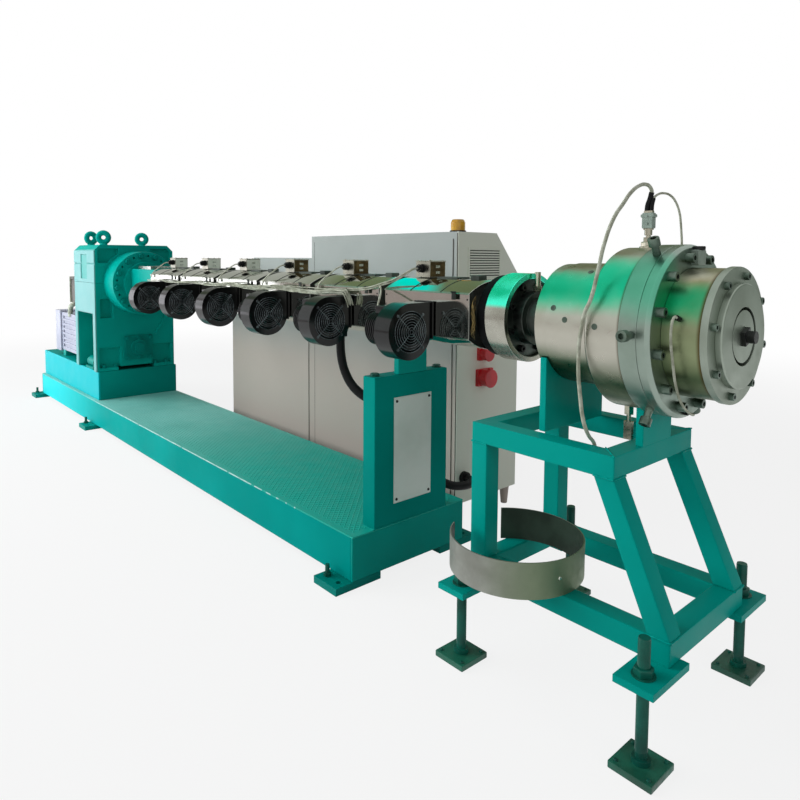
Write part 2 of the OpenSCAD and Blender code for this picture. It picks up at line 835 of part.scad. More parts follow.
// Each heater carries its cover on two end flanges
module cast_heaters() {
    inset = 25;
    flange = 10;
    color("#a9aca6") place() each_zone() difference() {
        union() {
            disc(inset, cover_l - 2 * inset, heater_r);
            for (x = [inset, cover_l - inset - flange])
                translate([x, 0, 0]) cover_form(flange, cover_t + clear);
        }
        disc(0, cover_l, barrel_r + clear);
    }
}

// Solid of the cover's outline: flat sides with a shallow arch above and below
module cover_form(l, inset) {
    centre = cover_h / 2 - cover_arc;
    intersection() {
        translate([0, -cover_half + inset, axis_z - cover_h]) cube([l, cover_w - 2 * inset, 2 * cover_h]);
        along_x(-eps, 0, axis_z + centre) cylinder(r = cover_arc - inset, h = l + 2 * eps, $fn = 160);
        along_x(-eps, 0, axis_z - centre) cylinder(r = cover_arc - inset, h = l + 2 * eps, $fn = 160);
    }
}

module zone_covers() {
    edge_z = cover_side / 2;
    color(bright) place() each_zone() difference() {
        union() {
            cover_form(cover_l, 0);
            // Turned lips where the arched sheets meet the side panels
            for (z = [axis_z - edge_z, axis_z + edge_z - cover_t])
                block([0, -cover_half - cover_lip, z], [cover_l, cover_half + cover_lip, z + cover_t]);
        }
        translate([-eps, 0, 0]) cover_form(cover_l + 2 * eps, cover_t);
    }
}

module junction_boxes() {
    vent_n = 2;
    color(bright) place() each_zone() difference() {
        union() {
            translate([jbox_at, -jbox_w / 2, cover_crown_z]) cube([jbox_l, jbox_w, jbox_h]);
            translate([jbox_at + jbox_l / 2, -jbox_w / 2 + eps, cover_crown_z + jbox_h * 0.55])
                rotate([90, 0, 0]) cylinder(r = gland_r, h = gland_l + eps, $fn = 24);
        }
        for (i = [1 : vent_n])
            translate([jbox_at + jbox_l - 3, -jbox_w * 0.22, cover_crown_z + jbox_h * (0.2 + 0.24 * i)])
                cube([3 + eps, jbox_w * 0.44, jbox_h * 0.1]);
    }
}

// Zone blowers

module blower_housings() {
    front = blower_at + scroll_w;
    color(black) place() each_zone() difference() {
        union() {
            along_x(blower_at, blower_y, blower_z) cylinder(r = scroll_r, h = scroll_w, $fn = 96);
            block([blower_at, blower_y, blower_z + scroll_r - outlet_h],
                [front, -cover_half, blower_z + scroll_r]);
        }
        along_x(front - inlet_d, blower_y, blower_z) cylinder(r = inlet_r, h = inlet_d + eps);
    }
}

module blower_motors() {
    rib_n = 5;
    rib = fan_motor_l / (2 * rib_n + 1);
    color(black) place() each_zone() {
        along_x(blower_at - fan_motor_l, blower_y, blower_z)
            cylinder(r = fan_motor_r * 0.88, h = fan_motor_l);
        for (i = [0 : rib_n])
            along_x(blower_at - fan_motor_l + 2 * i * rib, blower_y, blower_z)
                cylinder(r = fan_motor_r, h = rib);
    }
}

module blower_grilles() {
    front = blower_at + scroll_w;
    outer = inlet_r + 2 * wire_t;
    step = outer / (grille_n + 0.5);
    color("#2a2d2f") place() each_zone() along_x(front, blower_y, blower_z) {
        for (i = [1 : grille_n])
            difference() {
                r = outer - (grille_n - i) * step;
                cylinder(r = r, h = wire_t);
                translate([0, 0, -eps]) cylinder(r = r - wire_t, h = wire_t + 2 * eps);
            }
        for (a = [45, -45])
            rotate([0, 0, a]) translate([-outer, -wire_t / 2, 0]) cube([2 * outer, wire_t, wire_t]);
    }
}

module wiring_bundle() {
    run_z = blower_z + scroll_r + clear + bundle_d / 2;
    run_y = -cover_half - bundle_d / 2 - clear;
    bundle_end = zone_x(zone_n - 2) + blower_at + scroll_w;
    color("#d6d8d2") place()
        along_x(zone_x(0) + zone_gap, run_y, run_z)
        cylinder(d = bundle_d, h = bundle_end - zone_x(0) - zone_gap, $fn = 24);
}

module zone_cables() {
    gland_x = jbox_at + jbox_l / 2;
    gland_y = -jbox_w / 2 - gland_l;
    gland_z = cover_crown_z + jbox_h * 0.55;
    side_y = -cover_half - cover_lip - zone_cable_d / 2 - clear;
    bundle_z = blower_z + scroll_r + bundle_d + zone_cable_d / 2 + 2 * clear;
    shoulder_z = cover_crown_z - cover_rise * 0.5;
    color("#cfd3c4") place() {
        sweep(last_tail_route, zone_cable_d);
        for (i = [0 : zone_n - 2]) translate([zone_x(i), 0, 0]) sweep([
            [gland_x, gland_y, gland_z],
            [gland_x - 2, gland_y - 14, gland_z - 1],
            [gland_x - 8, gland_y - 28, gland_z - 7],
            [gland_x - 18, gland_y - 42, gland_z - 18],
            [gland_x - 30, gland_y - 56, shoulder_z + 18],
            [gland_x - 42, (gland_y - 70 + side_y) / 2, shoulder_z + 6],
            [gland_x - 52, side_y - 2, shoulder_z - 12],
            [gland_x - 58, side_y - 3, bundle_z + 12],
            [gland_x - 62, side_y - 4, bundle_z + 3]
        ], zone_cable_d);
    }
}

// Barrel end and die head

module barrel_flange() {
    color(black) place() disc(flange_x, flange_l, flange_r);
}

module clamp_ring() {
    color(bright) place() ring(clamp_x, clamp_l, clamp_r, adapter_r);
}

module die_adapter() {
    face_x = clamp_front_x - adapter_in;
    color("#3a3f3c") place() {
        disc(clamp_x, face_x - clamp_x, adapter_r - clear);
        disc(clamp_x, face_x - clamp_x + hub_l, hub_r);
        disc(clamp_x, die_x - clamp_x, neck_r);
    }
}

module die_rear_disc() {
    color(steel) place() disc(die_x, disc_l, disc_r);
}

module die_rear_body() {
    color(steel) place() disc(body_x, body_l, body_r);
}

module die_main_body() {
    blend = 12;
    color(steel) place() along_x(main_x) rotate_extrude($fn = 128)
        polygon([[0, 0], [main_r - blend, 0], [main_r, blend], [main_r, main_l], [0, main_l]]);
}

module clamp_flange_rear() {
    color(steel) place() disc(pair_x, pair_rear_l, pair_r);
}

module clamp_flange_front() {
    bevel = 10;
    color(steel) place() along_x(pair_mid_x) rotate_extrude($fn = 128)
        polygon([
            [0, 0], [pair_r, 0], [pair_r, pair_front_l - bevel], [pair_r - bevel, pair_front_l],
            [0, pair_front_l]
        ]);
}

module die_holder() {
    color(steel) place() ring(holder_x, holder_l, holder_r, lip_r);
}

module retaining_ring() {
    color(steel) place() ring(retain_x, retain_l, retain_r, lip_r);
}

module die_bush() {
    bevel = 3;
    color(bright) place() difference() {
        along_x(bush_x) rotate_extrude($fn = 128)
            polygon([[0, 0], [bush_r, 0], [bush_r, bush_l - bevel], [bush_r - bevel, bush_l], [0, bush_l]]);
        disc(bush_x - eps, bush_l + 2 * eps, lip_r);
    }
}

module die_mandrel() {
    color(bright) place() {
        disc(holder_x, tip_x - holder_x - lip_gap / 4, lip_r - lip_gap);
        along_x(tip_x - lip_gap) cylinder(r = drawbar_w * 0.42, h = drawbar_l + lip_gap, $fn = 32);
        along_x(tip_x - lip_gap) rotate([0, 0, 20]) translate([-drawbar_w / 2, -drawbar_w / 2, 0])
            cube([drawbar_w, drawbar_w, drawbar_l * 0.6]);
    }
}

module probe() {
    cylinder(d = probe_nut / cos(30), h = probe_nut_h, $fn = 6);
    cylinder(r = probe_stem_r, h = probe_nut_h + probe_stem_l, $fn = 24);
    translate([0, 0, probe_nut_h + probe_stem_l]) translate([-probe_nut / 2, -probe_nut / 4, 0])
        cube([probe_nut, probe_nut / 2, probe_plug_l]);
}

// Short pressure transducer on the hub of the adapter
module transducer() {
    cylinder(d = probe_nut / cos(30), h = probe_nut_h * 0.6, $fn = 6);
    translate([0, 0, probe_nut_h * 0.6]) cylinder(r = probe_nut * 0.4, h = probe_plug_l * 0.85, $fn = 24);
}

module melt_probes() {
    color("#b8bcae") place() {
        translate([clamp_front_x + probe_nut * 0.7, 0, axis_z + hub_r]) transducer();
        translate([pair_x - probe_back, 0, axis_z + main_r]) probe();
        translate([pair_x - probe_low_back, 0, axis_z - main_r]) mirror([0, 0, 1]) probe();
    }
}

// Support post

module support_post() {
    color(teal) place()
        block([-post_d, -post_w / 2, deck_z], [0, post_w / 2, post_top_z]);
}

module post_cover() {
    color("#9aa39a") place()
        block([0, -post_cover_w / 2, post_top_z - post_cover_drop - post_cover_h],
            [post_cover_t, post_cover_w / 2, post_top_z - post_cover_drop]);
}

module barrel_saddle() {
    neck = barrel_r * 0.98;
    seat_z = axis_z - barrel_r * 0.5;
    difference() {
        translate([support_x - saddle_t / 2, 0, 0]) rotate([90, 0, 90]) linear_extrude(saddle_t) polygon([
            [-saddle_w / 2, post_top_z], [saddle_w / 2, post_top_z], [neck, seat_z], [-neck, seat_z]
        ]);
        along_x(support_x - saddle_t) cylinder(r = barrel_r + clear, h = 2 * saddle_t);
    }
}

module die_saddle(x, w, r) {
    difference() {
        block([x, -w / 2, stand_z], [x + rest_t, w / 2, axis_z - r * 0.55]);
        along_x(x - eps) cylinder(r = r + clear, h = rest_t + 2 * eps, $fn = 128);
    }
}

// One saddle under the barrel and two under the die head
module saddles() {
    color(teal_dark) place() {
        barrel_saddle();
        die_saddle(rest_x, rest_w, disc_r);
        die_saddle(rest_front_x, rest_front_w, main_r);
    }
}

// Die stand

module stand_top_frame() {
    color(teal) place() difference() {
        block([stand_rear_x, -stand_half, stand_z - tube], [stand_front_x, stand_half, stand_z]);
        block([stand_rear_x + tube, -stand_half + tube, stand_z - tube - eps],
            [stand_front_x - tube, stand_half - tube, stand_z + eps]);
    }
}

module stand_legs() {
    top_z = stand_z - tube;
    color(teal) place() for (y = [-stand_half, stand_half - tube]) {
        block([stand_rear_x, y, low_z], [stand_rear_x + tube, y + tube, top_z]);
        translate([0, y + tube, 0]) rotate([90, 0, 0]) linear_extrude(tube) polygon([
            [stand_front_x - tube, top_z], [stand_front_x, top_z],
            [low_front_x, low_z], [low_front_x - tube, low_z]
        ]);
    }
}

module stand_lower_rails() {
    color(teal) place() difference() {
        block([stand_rear_x, -stand_half, low_bottom_z], [low_front_x, stand_half, low_z]);
        block([stand_rear_x + tube, -stand_half + tube, low_bottom_z - eps],
            [low_front_x - tube, stand_half - tube, low_z + eps]);
    }
}

module stand_brackets() {
    color(teal) place() for (x = stand_jack_xs) for (side = [-1, 1])
        difference() {
            translate([x - bracket_w / 2, side > 0 ? stand_half - tube : -stand_jack_y - bracket_w / 2,
                low_bottom_z - bracket_t])
                cube([bracket_w, stand_jack_y + bracket_w / 2 - stand_half + tube, bracket_t]);
            translate([x, side * stand_jack_y, low_bottom_z - bracket_t - eps])
                cylinder(r = jack_r + clear, h = bracket_t + 2 * eps, $fn = 32);
        }
}

module stand_pads() {
    color("#1d5d4c") place() for (x = stand_jack_xs) for (side = [-1, 1])
        translate([x - pad_w / 2, side * stand_jack_y - pad_w / 2, 0]) cube([pad_w, pad_w, pad_t]);
}

// The band lies round the near rear leg, with its gap on the side away from the die
module heater_band() {
    band_turn = 205;
    color(steel) place() translate([band_x, band_y, low_z])
        rotate([0, 0, band_turn]) rotate_extrude(angle = 360 - band_open, $fn = 96)
        translate([band_r, 0]) square([band_t, band_h]);
}

// Console

module console_body() {
    color(console_grey) place() {
        translate([con_rear_x, 0, 0]) rotate([90, 0, 90]) linear_extrude(con_w) polygon([
            [con_near_y, con_foot], [con_far_y, con_foot], [con_far_y, con_z - slope_h],
            [con_far_y - slope_d, con_z], [con_near_y, con_z]
        ]);
        block([side_rear_x, con_near_y, con_foot], [con_rear_x + eps, con_far_y, side_z]);
        block([vent_x, con_near_y + panel_rim, side_z - eps],
            [con_rear_x + eps, con_far_y - panel_rim, side_z + vent_h]);
    }
}

module console_panels() {
    louvre_y = con_near_y + 80;
    louvre_z = con_z - 87 - louvre_h;
    step = louvre_h / louvre_n;
    color("#c3c7c6") place() {
        block([con_rear_x + panel_rim, con_near_y - panel_t, con_foot + panel_rim],
            [con_front_x - panel_rim, con_near_y, con_z - panel_rim]);
        block([side_rear_x + panel_rim, con_near_y - panel_t, con_foot + panel_rim],
            [con_rear_x - panel_rim, con_near_y, side_z - panel_rim]);
        for (i = [0 : louvre_n - 1])
            block([con_front_x, louvre_y, louvre_z + i * step],
                [con_front_x + 2 * panel_t, louvre_y + louvre_w, louvre_z + (i + 0.6) * step]);
    }
}

module console_feet() {
    inset = 40;
    top_r = 26;
    low_r = 17;
    color(console_grey) place()
        for (x = [side_rear_x + inset, con_rear_x + inset, con_front_x - inset])
            for (y = [con_near_y + inset, con_far_y - inset])
                translate([x, y, 0]) cylinder(r1 = low_r, r2 = top_r, h = con_foot, $fn = 32);
}

module machine_sockets() {
    places = [[con_near_y + 175, con_z - 598, 0.8], [con_near_y + 175, con_z - 718, 1]];
    color("#c8141e") place() for (p = places) {
        along_x(con_front_x, p[0], p[1]) cylinder(r = socket_r * p[2], h = socket_l * p[2], $fn = 48);
        block([con_front_x, p[0] - socket_r * p[2], p[1] - socket_r * p[2]],
            [con_front_x + socket_l * 0.3, p[0] + socket_r * p[2], p[1] + socket_r * p[2]]);
    }
}

module beacon() {
    color("#d9a400") place() translate([con_front_x - 62, con_near_y + 60, con_z]) {
        cylinder(r = beacon_r, h = beacon_h * 0.75, $fn = 48);
        translate([0, 0, beacon_h * 0.75])
            cylinder(r1 = beacon_r, r2 = beacon_r * 0.8, h = beacon_h * 0.25, $fn = 48);
    }
}

// Cables

module conduit() {
    color(black) place() sweep(conduit_route, conduit_d, conduit_sides);
}

// Glands and sockets where the conduit and the leads end
module cable_glands() {
    nut = conduit_d * 0.75;
    first = conduit_route[0];
    last = conduit_route[len(conduit_route) - 1];
    lead_end = lead_near_route[len(lead_near_route) - 1];
    far_end = lead_far_route[len(lead_far_route) - 1];
    wire_end = probe_wire_route[len(probe_wire_route) - 1];
    color(black) place() {
        difference() {
            translate(first) cylinder(r = nut, h = cover_h / 2, $fn = 32);
            translate([first[0] - 2 * nut, 0, 0]) cover_form(4 * nut, -clear);
        }
        translate(last) rotate([0, -90, 0])
            cylinder(r = nut, h = last[0] - con_front_x - clear, $fn = 32);
        block([lead_end[0] - socket_half, tube - stand_half + clear, stand_z - tube],
            [lead_end[0] + socket_half, lead_end[1] + socket_half, lead_end[2]]);
        difference() {
            translate([far_end[0], far_end[1], axis_z])
                cylinder(r = lead_d, h = far_end[2] - axis_z, $fn = 32);
            disc(main_x - eps, main_l + 2 * eps, main_r + clear);
        }
        along_x(holder_x, wire_end[1], wire_end[2])
            cylinder(r = thin_d, h = wire_end[0] - holder_x, $fn = 32);
        translate([wire_start[0], 0, axis_z]) rotate([90 - wire_rise, 0, 0])
            translate([0, 0, holder_r + clear])
            cylinder(r = thin_d, h = wire_r - holder_r - clear, $fn = 32);
    }
}

module die_lead_near() {
    color("#b9bda6") place() sweep(lead_near_route, lead_d);
}

module die_lead_far() {
    color("#b9bda6") place() sweep(lead_far_route, thin_d);
}

module probe_wire() {
    color("#b9bda6") place() sweep(probe_wire_route, thin_d);
}

base_side_rails();
base_cross_plates();
deck_plate();
anchor_feet();
levelling_screws();
drive_plinth();
gearbox_lower_housing();
gearbox_upper_housing();
bearing_housing();
lifting_eyes();
gearbox_front_cover();
oil_pump();
motor_bell();
motor_body();
motor_rear_cover();
motor_feet();
motor_terminal_box();
feed_section();
hopper_flange();
barrel();
cast_heaters();
zone_covers();
junction_boxes();
blower_housings();
blower_motors();
blower_grilles();
wiring_bundle();
zone_cables();
barrel_flange();
clamp_ring();
die_adapter();
die_rear_disc();
die_rear_body();
die_main_body();
clamp_flange_rear();
clamp_flange_front();
die_holder();
retaining_ring();
die_bush();
die_mandrel();
melt_probes();
support_post();
post_cover();
saddles();
stand_top_frame();
stand_legs();
stand_lower_rails();
stand_brackets();
stand_pads();
heater_band();
console_body();
console_panels();
console_feet();
machine_sockets();
beacon();
cable_glands();
conduit();
die_lead_near();
die_lead_far();
probe_wire();
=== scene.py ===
# %% [markdown]
# A plastic extruder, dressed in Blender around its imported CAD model. The lesson goes from the camera and
# the cables to the finishes, and then from the base frame to the die head, the stand and the console. CAD
# pieces whose shape is right keep it and only get soft edges and a finish; finer form is modelled here.

# %% Load the frame
import json
import math
import random

import bpy
from mathutils import Matrix, Vector


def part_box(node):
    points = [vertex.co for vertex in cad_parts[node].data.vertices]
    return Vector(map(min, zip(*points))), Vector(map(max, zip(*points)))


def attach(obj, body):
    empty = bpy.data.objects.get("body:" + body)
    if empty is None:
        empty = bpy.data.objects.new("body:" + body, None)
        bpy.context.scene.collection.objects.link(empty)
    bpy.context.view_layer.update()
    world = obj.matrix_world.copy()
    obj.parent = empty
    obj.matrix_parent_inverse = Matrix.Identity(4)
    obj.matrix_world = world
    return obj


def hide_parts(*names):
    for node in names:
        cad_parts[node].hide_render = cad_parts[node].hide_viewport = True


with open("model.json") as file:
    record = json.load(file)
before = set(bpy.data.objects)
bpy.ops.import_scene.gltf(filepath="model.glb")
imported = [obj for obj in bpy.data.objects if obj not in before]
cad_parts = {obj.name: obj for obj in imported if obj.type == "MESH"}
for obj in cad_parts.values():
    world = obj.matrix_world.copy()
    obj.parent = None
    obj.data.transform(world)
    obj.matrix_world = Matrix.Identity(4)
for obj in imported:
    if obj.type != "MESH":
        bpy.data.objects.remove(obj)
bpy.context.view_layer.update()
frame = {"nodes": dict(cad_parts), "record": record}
record = frame["record"]
print("CAD nodes:", len(frame["nodes"]))

# %% [markdown]
# Every place is measured from two things in the frame: the front face of the support post, where lengths
# along the machine start, and the barrel's axis. The helper at() turns such a measure into a point.

# %% Datum points of the machine
START_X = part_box("support_post")[1][0]
BARREL_LOW, BARREL_HIGH = (Vector(p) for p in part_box("barrel"))
AXIS_Y = (BARREL_LOW.y + BARREL_HIGH.y) / 2
AXIS_Z = (BARREL_LOW.z + BARREL_HIGH.z) / 2


def at(x, y, z):
    return Vector((START_X + x, AXIS_Y + y, z))


def low(node):
    return Vector(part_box(node)[0]) - at(0, 0, 0)


def high(node):
    return Vector(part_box(node)[1]) - at(0, 0, 0)


print("barrel axis at height", round(AXIS_Z, 3))

# %% [markdown]
# The camera stands off the near front corner, a little above the barrel, and looks back along the machine
# with a wide lens. Its height and turn were found by fitting straight edges of the base, the covers and
# the die; a small shift keeps the upright edges upright, as a view camera does.

# %% Camera
CAMERA_AT = (1.980, -1.833, 1.303)
CAMERA_YAW = 0.84465
CAMERA_PITCH = 0.06436
CAMERA_ROLL = 0.00645
FOCAL_PX = 653.9
FRAME_PX = 800
CENTRE_ROW = 300
SENSOR_MM = 36
FAR_CLIP = 60

camera_data = bpy.data.cameras.new("camera")
camera_data.sensor_width = SENSOR_MM
camera_data.lens = FOCAL_PX / FRAME_PX * SENSOR_MM
camera_data.shift_y = (CENTRE_ROW - FRAME_PX / 2) / FRAME_PX
camera_data.clip_end = FAR_CLIP
camera = bpy.data.objects.new("camera", camera_data)
bpy.context.collection.objects.link(camera)
forward = Vector((-math.sin(CAMERA_YAW) * math.cos(CAMERA_PITCH),
                  math.cos(CAMERA_YAW) * math.cos(CAMERA_PITCH), -math.sin(CAMERA_PITCH)))
level_right = Vector((math.cos(CAMERA_YAW), math.sin(CAMERA_YAW), 0))
level_up = level_right.cross(forward)
right = level_right * math.cos(CAMERA_ROLL) + level_up * math.sin(CAMERA_ROLL)
up = level_up * math.cos(CAMERA_ROLL) - level_right * math.sin(CAMERA_ROLL)
turn = Matrix((right, up, -forward)).transposed().to_4x4()
camera.matrix_world = Matrix.Translation(at(*CAMERA_AT)) @ turn
bpy.context.scene.camera = camera
bpy.context.scene.view_settings.view_transform = "Standard"
print("lens", round(camera_data.lens, 2), "mm")

# %% [markdown]
# Small tools come before the pieces. An operator works on all that is selected, so everything is
# deselected first. slab(), pole() and torus() make the boxes, drums and rings that pieces start from, and
# soft_edges() breaks their edges.

# %% Tools for shapes
def only(obj):
    bpy.ops.object.select_all(action="DESELECT")
    obj.select_set(True)
    bpy.context.view_layer.objects.active = obj
    return obj


def mode(name):
    bpy.ops.object.mode_set(mode=name)


def fresh(kind, **settings):
    bpy.ops.object.select_all(action="DESELECT")
    getattr(bpy.ops.mesh, f"primitive_{kind}_add")(**settings)
    return bpy.context.object


def linked(name, data):
    obj = bpy.data.objects.new(name, data)
    bpy.context.collection.objects.link(obj)
    return obj


def shape(obj, kind, **settings):
    only(obj)
    modifier = obj.modifiers.new(kind.lower(), kind)
    for key, value in settings.items():
        setattr(modifier, key, value)
    bpy.ops.object.modifier_apply(modifier=modifier.name)
    return obj


def soft_edges(obj, width, segments=2, angle=38):
    return shape(obj, "BEVEL", width=width, segments=segments, limit_method="ANGLE",
                 angle_limit=math.radians(angle), use_clamp_overlap=True)


def keep_place(obj):
    only(obj)
    bpy.ops.object.transform_apply(location=True, rotation=True, scale=True)
    return obj


def toward(direction, axis="Z"):
    return Vector(direction).to_track_quat(axis, "Y").to_matrix().to_4x4()


def cube(low_corner, high_corner, edge=0.0, segments=2):
    low_corner, high_corner = Vector(low_corner), Vector(high_corner)
    obj = fresh("cube", size=1, location=(low_corner + high_corner) / 2)
    obj.scale = high_corner - low_corner
    keep_place(obj)
    return soft_edges(obj, edge, segments) if edge else obj


def slab(xs, ys, zs, edge=0.0, segments=2):
    return cube(at(xs[0], ys[0], zs[0]), at(xs[1], ys[1], zs[1]), edge, segments)


def pole(start, end, radius, end_radius=None, sides=32, edge=0.0):
    start, end = Vector(start), Vector(end)
    obj = fresh("cone", vertices=sides, radius1=radius, depth=(end - start).length,
                radius2=radius if end_radius is None else end_radius)
    obj.matrix_world = Matrix.Translation((start + end) / 2) @ toward(end - start)
    keep_place(obj)
    return soft_edges(obj, edge) if edge else obj


def torus(place, radius, wire, segments, sides, facing=0.0):
    return keep_place(fresh("torus", major_radius=radius, minor_radius=wire, major_segments=segments,
                            minor_segments=sides, location=place,
                            rotation=(0, math.pi / 2, math.radians(facing))))


print("shapes can be made")

# %% [markdown]
# Shapes are then copied, joined and cut. softened() copies a CAD node and rounds its edges, and settle()
# gives a finished piece its name, finish and body in one call, with its object at the origin and its place
# in the mesh.

# %% Tools for pieces
BODY = "root"
MERGE_GAP = 0.00002
FLAT_WITHIN = math.radians(0.5)
FACES_UP = 0.9


def copy_of(obj, matrix=None):
    twin = obj.copy()
    twin.data = obj.data.copy()
    bpy.context.collection.objects.link(twin)
    if matrix is not None:
        twin.data.transform(matrix)
    return twin


def drop(obj):
    bpy.data.objects.remove(obj, do_unlink=True)


def spread(obj, matrices):
    twins = [copy_of(obj, m) for m in matrices]
    drop(obj)
    return twins


def joined(parts):
    parts = list(parts)
    only(parts[0])
    for part in parts:
        part.select_set(True)
    if len(parts) > 1:
        bpy.ops.object.join()
    return bpy.context.object


def as_mesh(curve):
    only(curve)
    bpy.ops.object.convert(target="MESH")
    return bpy.context.object


def pick(obj, items, test):
    only(obj)
    mode("EDIT")
    if items == "vertices":
        bpy.ops.mesh.select_mode(type="VERT")
    bpy.ops.mesh.select_all(action="DESELECT")
    mode("OBJECT")
    for item in getattr(obj.data, items):
        item.select = test(item)
    mode("EDIT")


def cut(obj, tool, operation="DIFFERENCE"):
    shape(obj, "BOOLEAN", object=tool, operation=operation, solver="EXACT")
    drop(tool)
    return obj


def settle(obj, name, finish, slot, smooth=35, replaces=()):
    keep_place(obj)
    obj.name = name
    obj.data.name = name
    if obj.type == "MESH":
        bpy.ops.object.shade_smooth_by_angle(angle=math.radians(smooth))
        shape(obj, "WEIGHTED_NORMAL", keep_sharp=True)
    obj.data.materials.clear()
    obj.data.materials.append(finish)
    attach(obj, BODY)
    if replaces:
        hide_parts(*replaces)
    return obj


def softened(node, width, finish, segments=2, smooth=35):
    piece = only(linked(node + "_finished", frame["nodes"][node].data.copy()))
    mode("EDIT")
    bpy.ops.mesh.select_all(action="SELECT")
    bpy.ops.mesh.customdata_custom_splitnormals_clear()
    bpy.ops.mesh.remove_doubles(threshold=MERGE_GAP)
    bpy.ops.mesh.dissolve_limited(angle_limit=FLAT_WITHIN)
    mode("OBJECT")
    soft_edges(piece, width, segments)
    slot = next(s["material_slot"] for s in record["subparts"] if s["node"] == node)
    return settle(piece, node + "_finished", finish, slot, smooth, [node])


def dress(node, finish):
    mesh = frame["nodes"][node].data
    mesh.materials.clear()
    mesh.materials.append(finish)


def around_x(count, radius, x, start):
    for k in range(count):
        angle = math.radians(start) + math.tau * k / count
        yield at(x, radius * math.sin(angle), AXIS_Z + radius * math.cos(angle))


print("pieces can be finished")

# %% [markdown]
# The cables come before the other pieces, because their length and room are checked. Their points were
# chosen one by one and are the same ones that the CAD model's plain cables follow.

# %% Cable routes
CONDUIT_D = 0.040
LEAD_D = 0.011
THIN_D = 0.007
CONDUIT_ROUTE = [
    (-0.330, -0.130, 0.958), (-0.330, -0.130, 0.925), (-0.326, -0.130, 0.880), (-0.314, -0.129, 0.835),
    (-0.294, -0.127, 0.795), (-0.266, -0.122, 0.758), (-0.232, -0.112, 0.728), (-0.196, -0.094, 0.704),
    (-0.164, -0.066, 0.682), (-0.142, -0.030, 0.656), (-0.130, 0.012, 0.622), (-0.124, 0.056, 0.580),
    (-0.122, 0.100, 0.530), (-0.124, 0.142, 0.476), (-0.128, 0.182, 0.420), (-0.130, 0.220, 0.364),
    (-0.128, 0.256, 0.312), (-0.120, 0.290, 0.274), (-0.106, 0.324, 0.250), (-0.088, 0.360, 0.238),
    (-0.076, 0.400, 0.233), (-0.078, 0.440, 0.230), (-0.090, 0.474, 0.229), (-0.110, 0.494, 0.228),
    (-0.132, 0.500, 0.228), (-0.148, 0.500, 0.228),
]
LEAD_NEAR_ROUTE = [
    (1.011, 0.000, 1.446), (1.012, 0.001, 1.462), (1.016, 0.005, 1.480), (1.021, 0.005, 1.500),
    (1.022, -0.008, 1.514), (1.021, -0.034, 1.520), (1.017, -0.065, 1.513), (1.012, -0.100, 1.491),
    (1.008, -0.135, 1.456), (1.003, -0.154, 1.434), (0.999, -0.170, 1.409), (0.996, -0.183, 1.384),
    (0.994, -0.195, 1.356), (0.992, -0.206, 1.326), (0.991, -0.215, 1.296), (0.990, -0.228, 1.256),
    (0.984, -0.246, 1.192), (0.971, -0.252, 1.157), (0.962, -0.255, 1.105), (0.956, -0.254, 1.070),
    (0.954, -0.252, 1.034), (0.952, -0.249, 1.003), (0.951, -0.245, 0.972), (0.950, -0.238, 0.938),
    (0.950, -0.231, 0.904), (0.951, -0.222, 0.860), (0.953, -0.206, 0.818), (0.954, -0.186, 0.790),
    (0.954, -0.168, 0.775), (0.954, -0.157, 0.758), (0.954, -0.155, 0.735),
]
LEAD_FAR_ROUTE = [
    (1.025, 0.000, 1.446), (1.025, 0.002, 1.464), (1.026, 0.008, 1.482), (1.031, 0.022, 1.494),
    (1.038, 0.050, 1.499), (1.044, 0.080, 1.492), (1.048, 0.104, 1.473), (1.050, 0.124, 1.443),
    (1.050, 0.132, 1.420), (1.050, 0.138, 1.394), (1.049, 0.146, 1.360), (1.048, 0.150, 1.334),
    (1.048, 0.150, 1.310),
]
PROBE_WIRE_ROUTE = [
    (1.200, -0.189, 1.154), (1.200, -0.198, 1.157), (1.199, -0.205, 1.152), (1.197, -0.209, 1.136),
    (1.195, -0.207, 1.108), (1.196, -0.205, 1.075), (1.198, -0.200, 1.046), (1.199, -0.194, 1.018),
    (1.197, -0.182, 0.991), (1.195, -0.166, 0.966), (1.192, -0.148, 0.944), (1.190, -0.128, 0.924),
    (1.190, -0.098, 0.899), (1.190, -0.064, 0.881), (1.186, -0.040, 0.875), (1.178, -0.028, 0.874),
    (1.166, -0.028, 0.874),
]


print("conduit points:", len(CONDUIT_ROUTE))

# %% [markdown]
# Each route becomes one open spline with a round bevel, and auto handles make it one smooth curve. The
# thickness is the radius of each point and the bevel is 1, because Blender adds the point radius to a
# curve's box.

# %% Cables
def tube(name, points, diameter, rings=6):
    data = bpy.data.curves.new(name, "CURVE")
    data.dimensions = "3D"
    data.bevel_depth = 1.0
    data.bevel_resolution = 3
    data.resolution_u = rings
    data.use_fill_caps = True
    line = data.splines.new("BEZIER")
    line.bezier_points.add(len(points) - 1)
    for bead, point in zip(line.bezier_points, points):
        bead.co, bead.radius = point, diameter / 2
        bead.handle_left_type = bead.handle_right_type = "AUTO"
    return linked(name, data)


def curve_length(obj):
    return sum(s.calc_length() for s in obj.data.splines)


cords = {}
for name, route, diameter, stiffness in (
        ("conduit", CONDUIT_ROUTE, CONDUIT_D, "stiff"),
        ("die_lead_near", LEAD_NEAR_ROUTE, LEAD_D, "medium"),
        ("die_lead_far", LEAD_FAR_ROUTE, THIN_D, "medium"),
        ("probe_wire", PROBE_WIRE_ROUTE, THIN_D, "medium")):
    cord = tube(name + "_cable", [at(*p) for p in route], diameter)
    cords[name] = cord
    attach(cord, BODY)
    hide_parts(name)
    at(*route[0])
    curve_length(cord)
    print(name, "is", round(curve_length(cord), 3), "m long")

# %% [markdown]
# Materials and the world are trees of shader nodes. add() puts one node into a tree and sets or links its
# inputs, and the helpers after it write the sums that come back often.

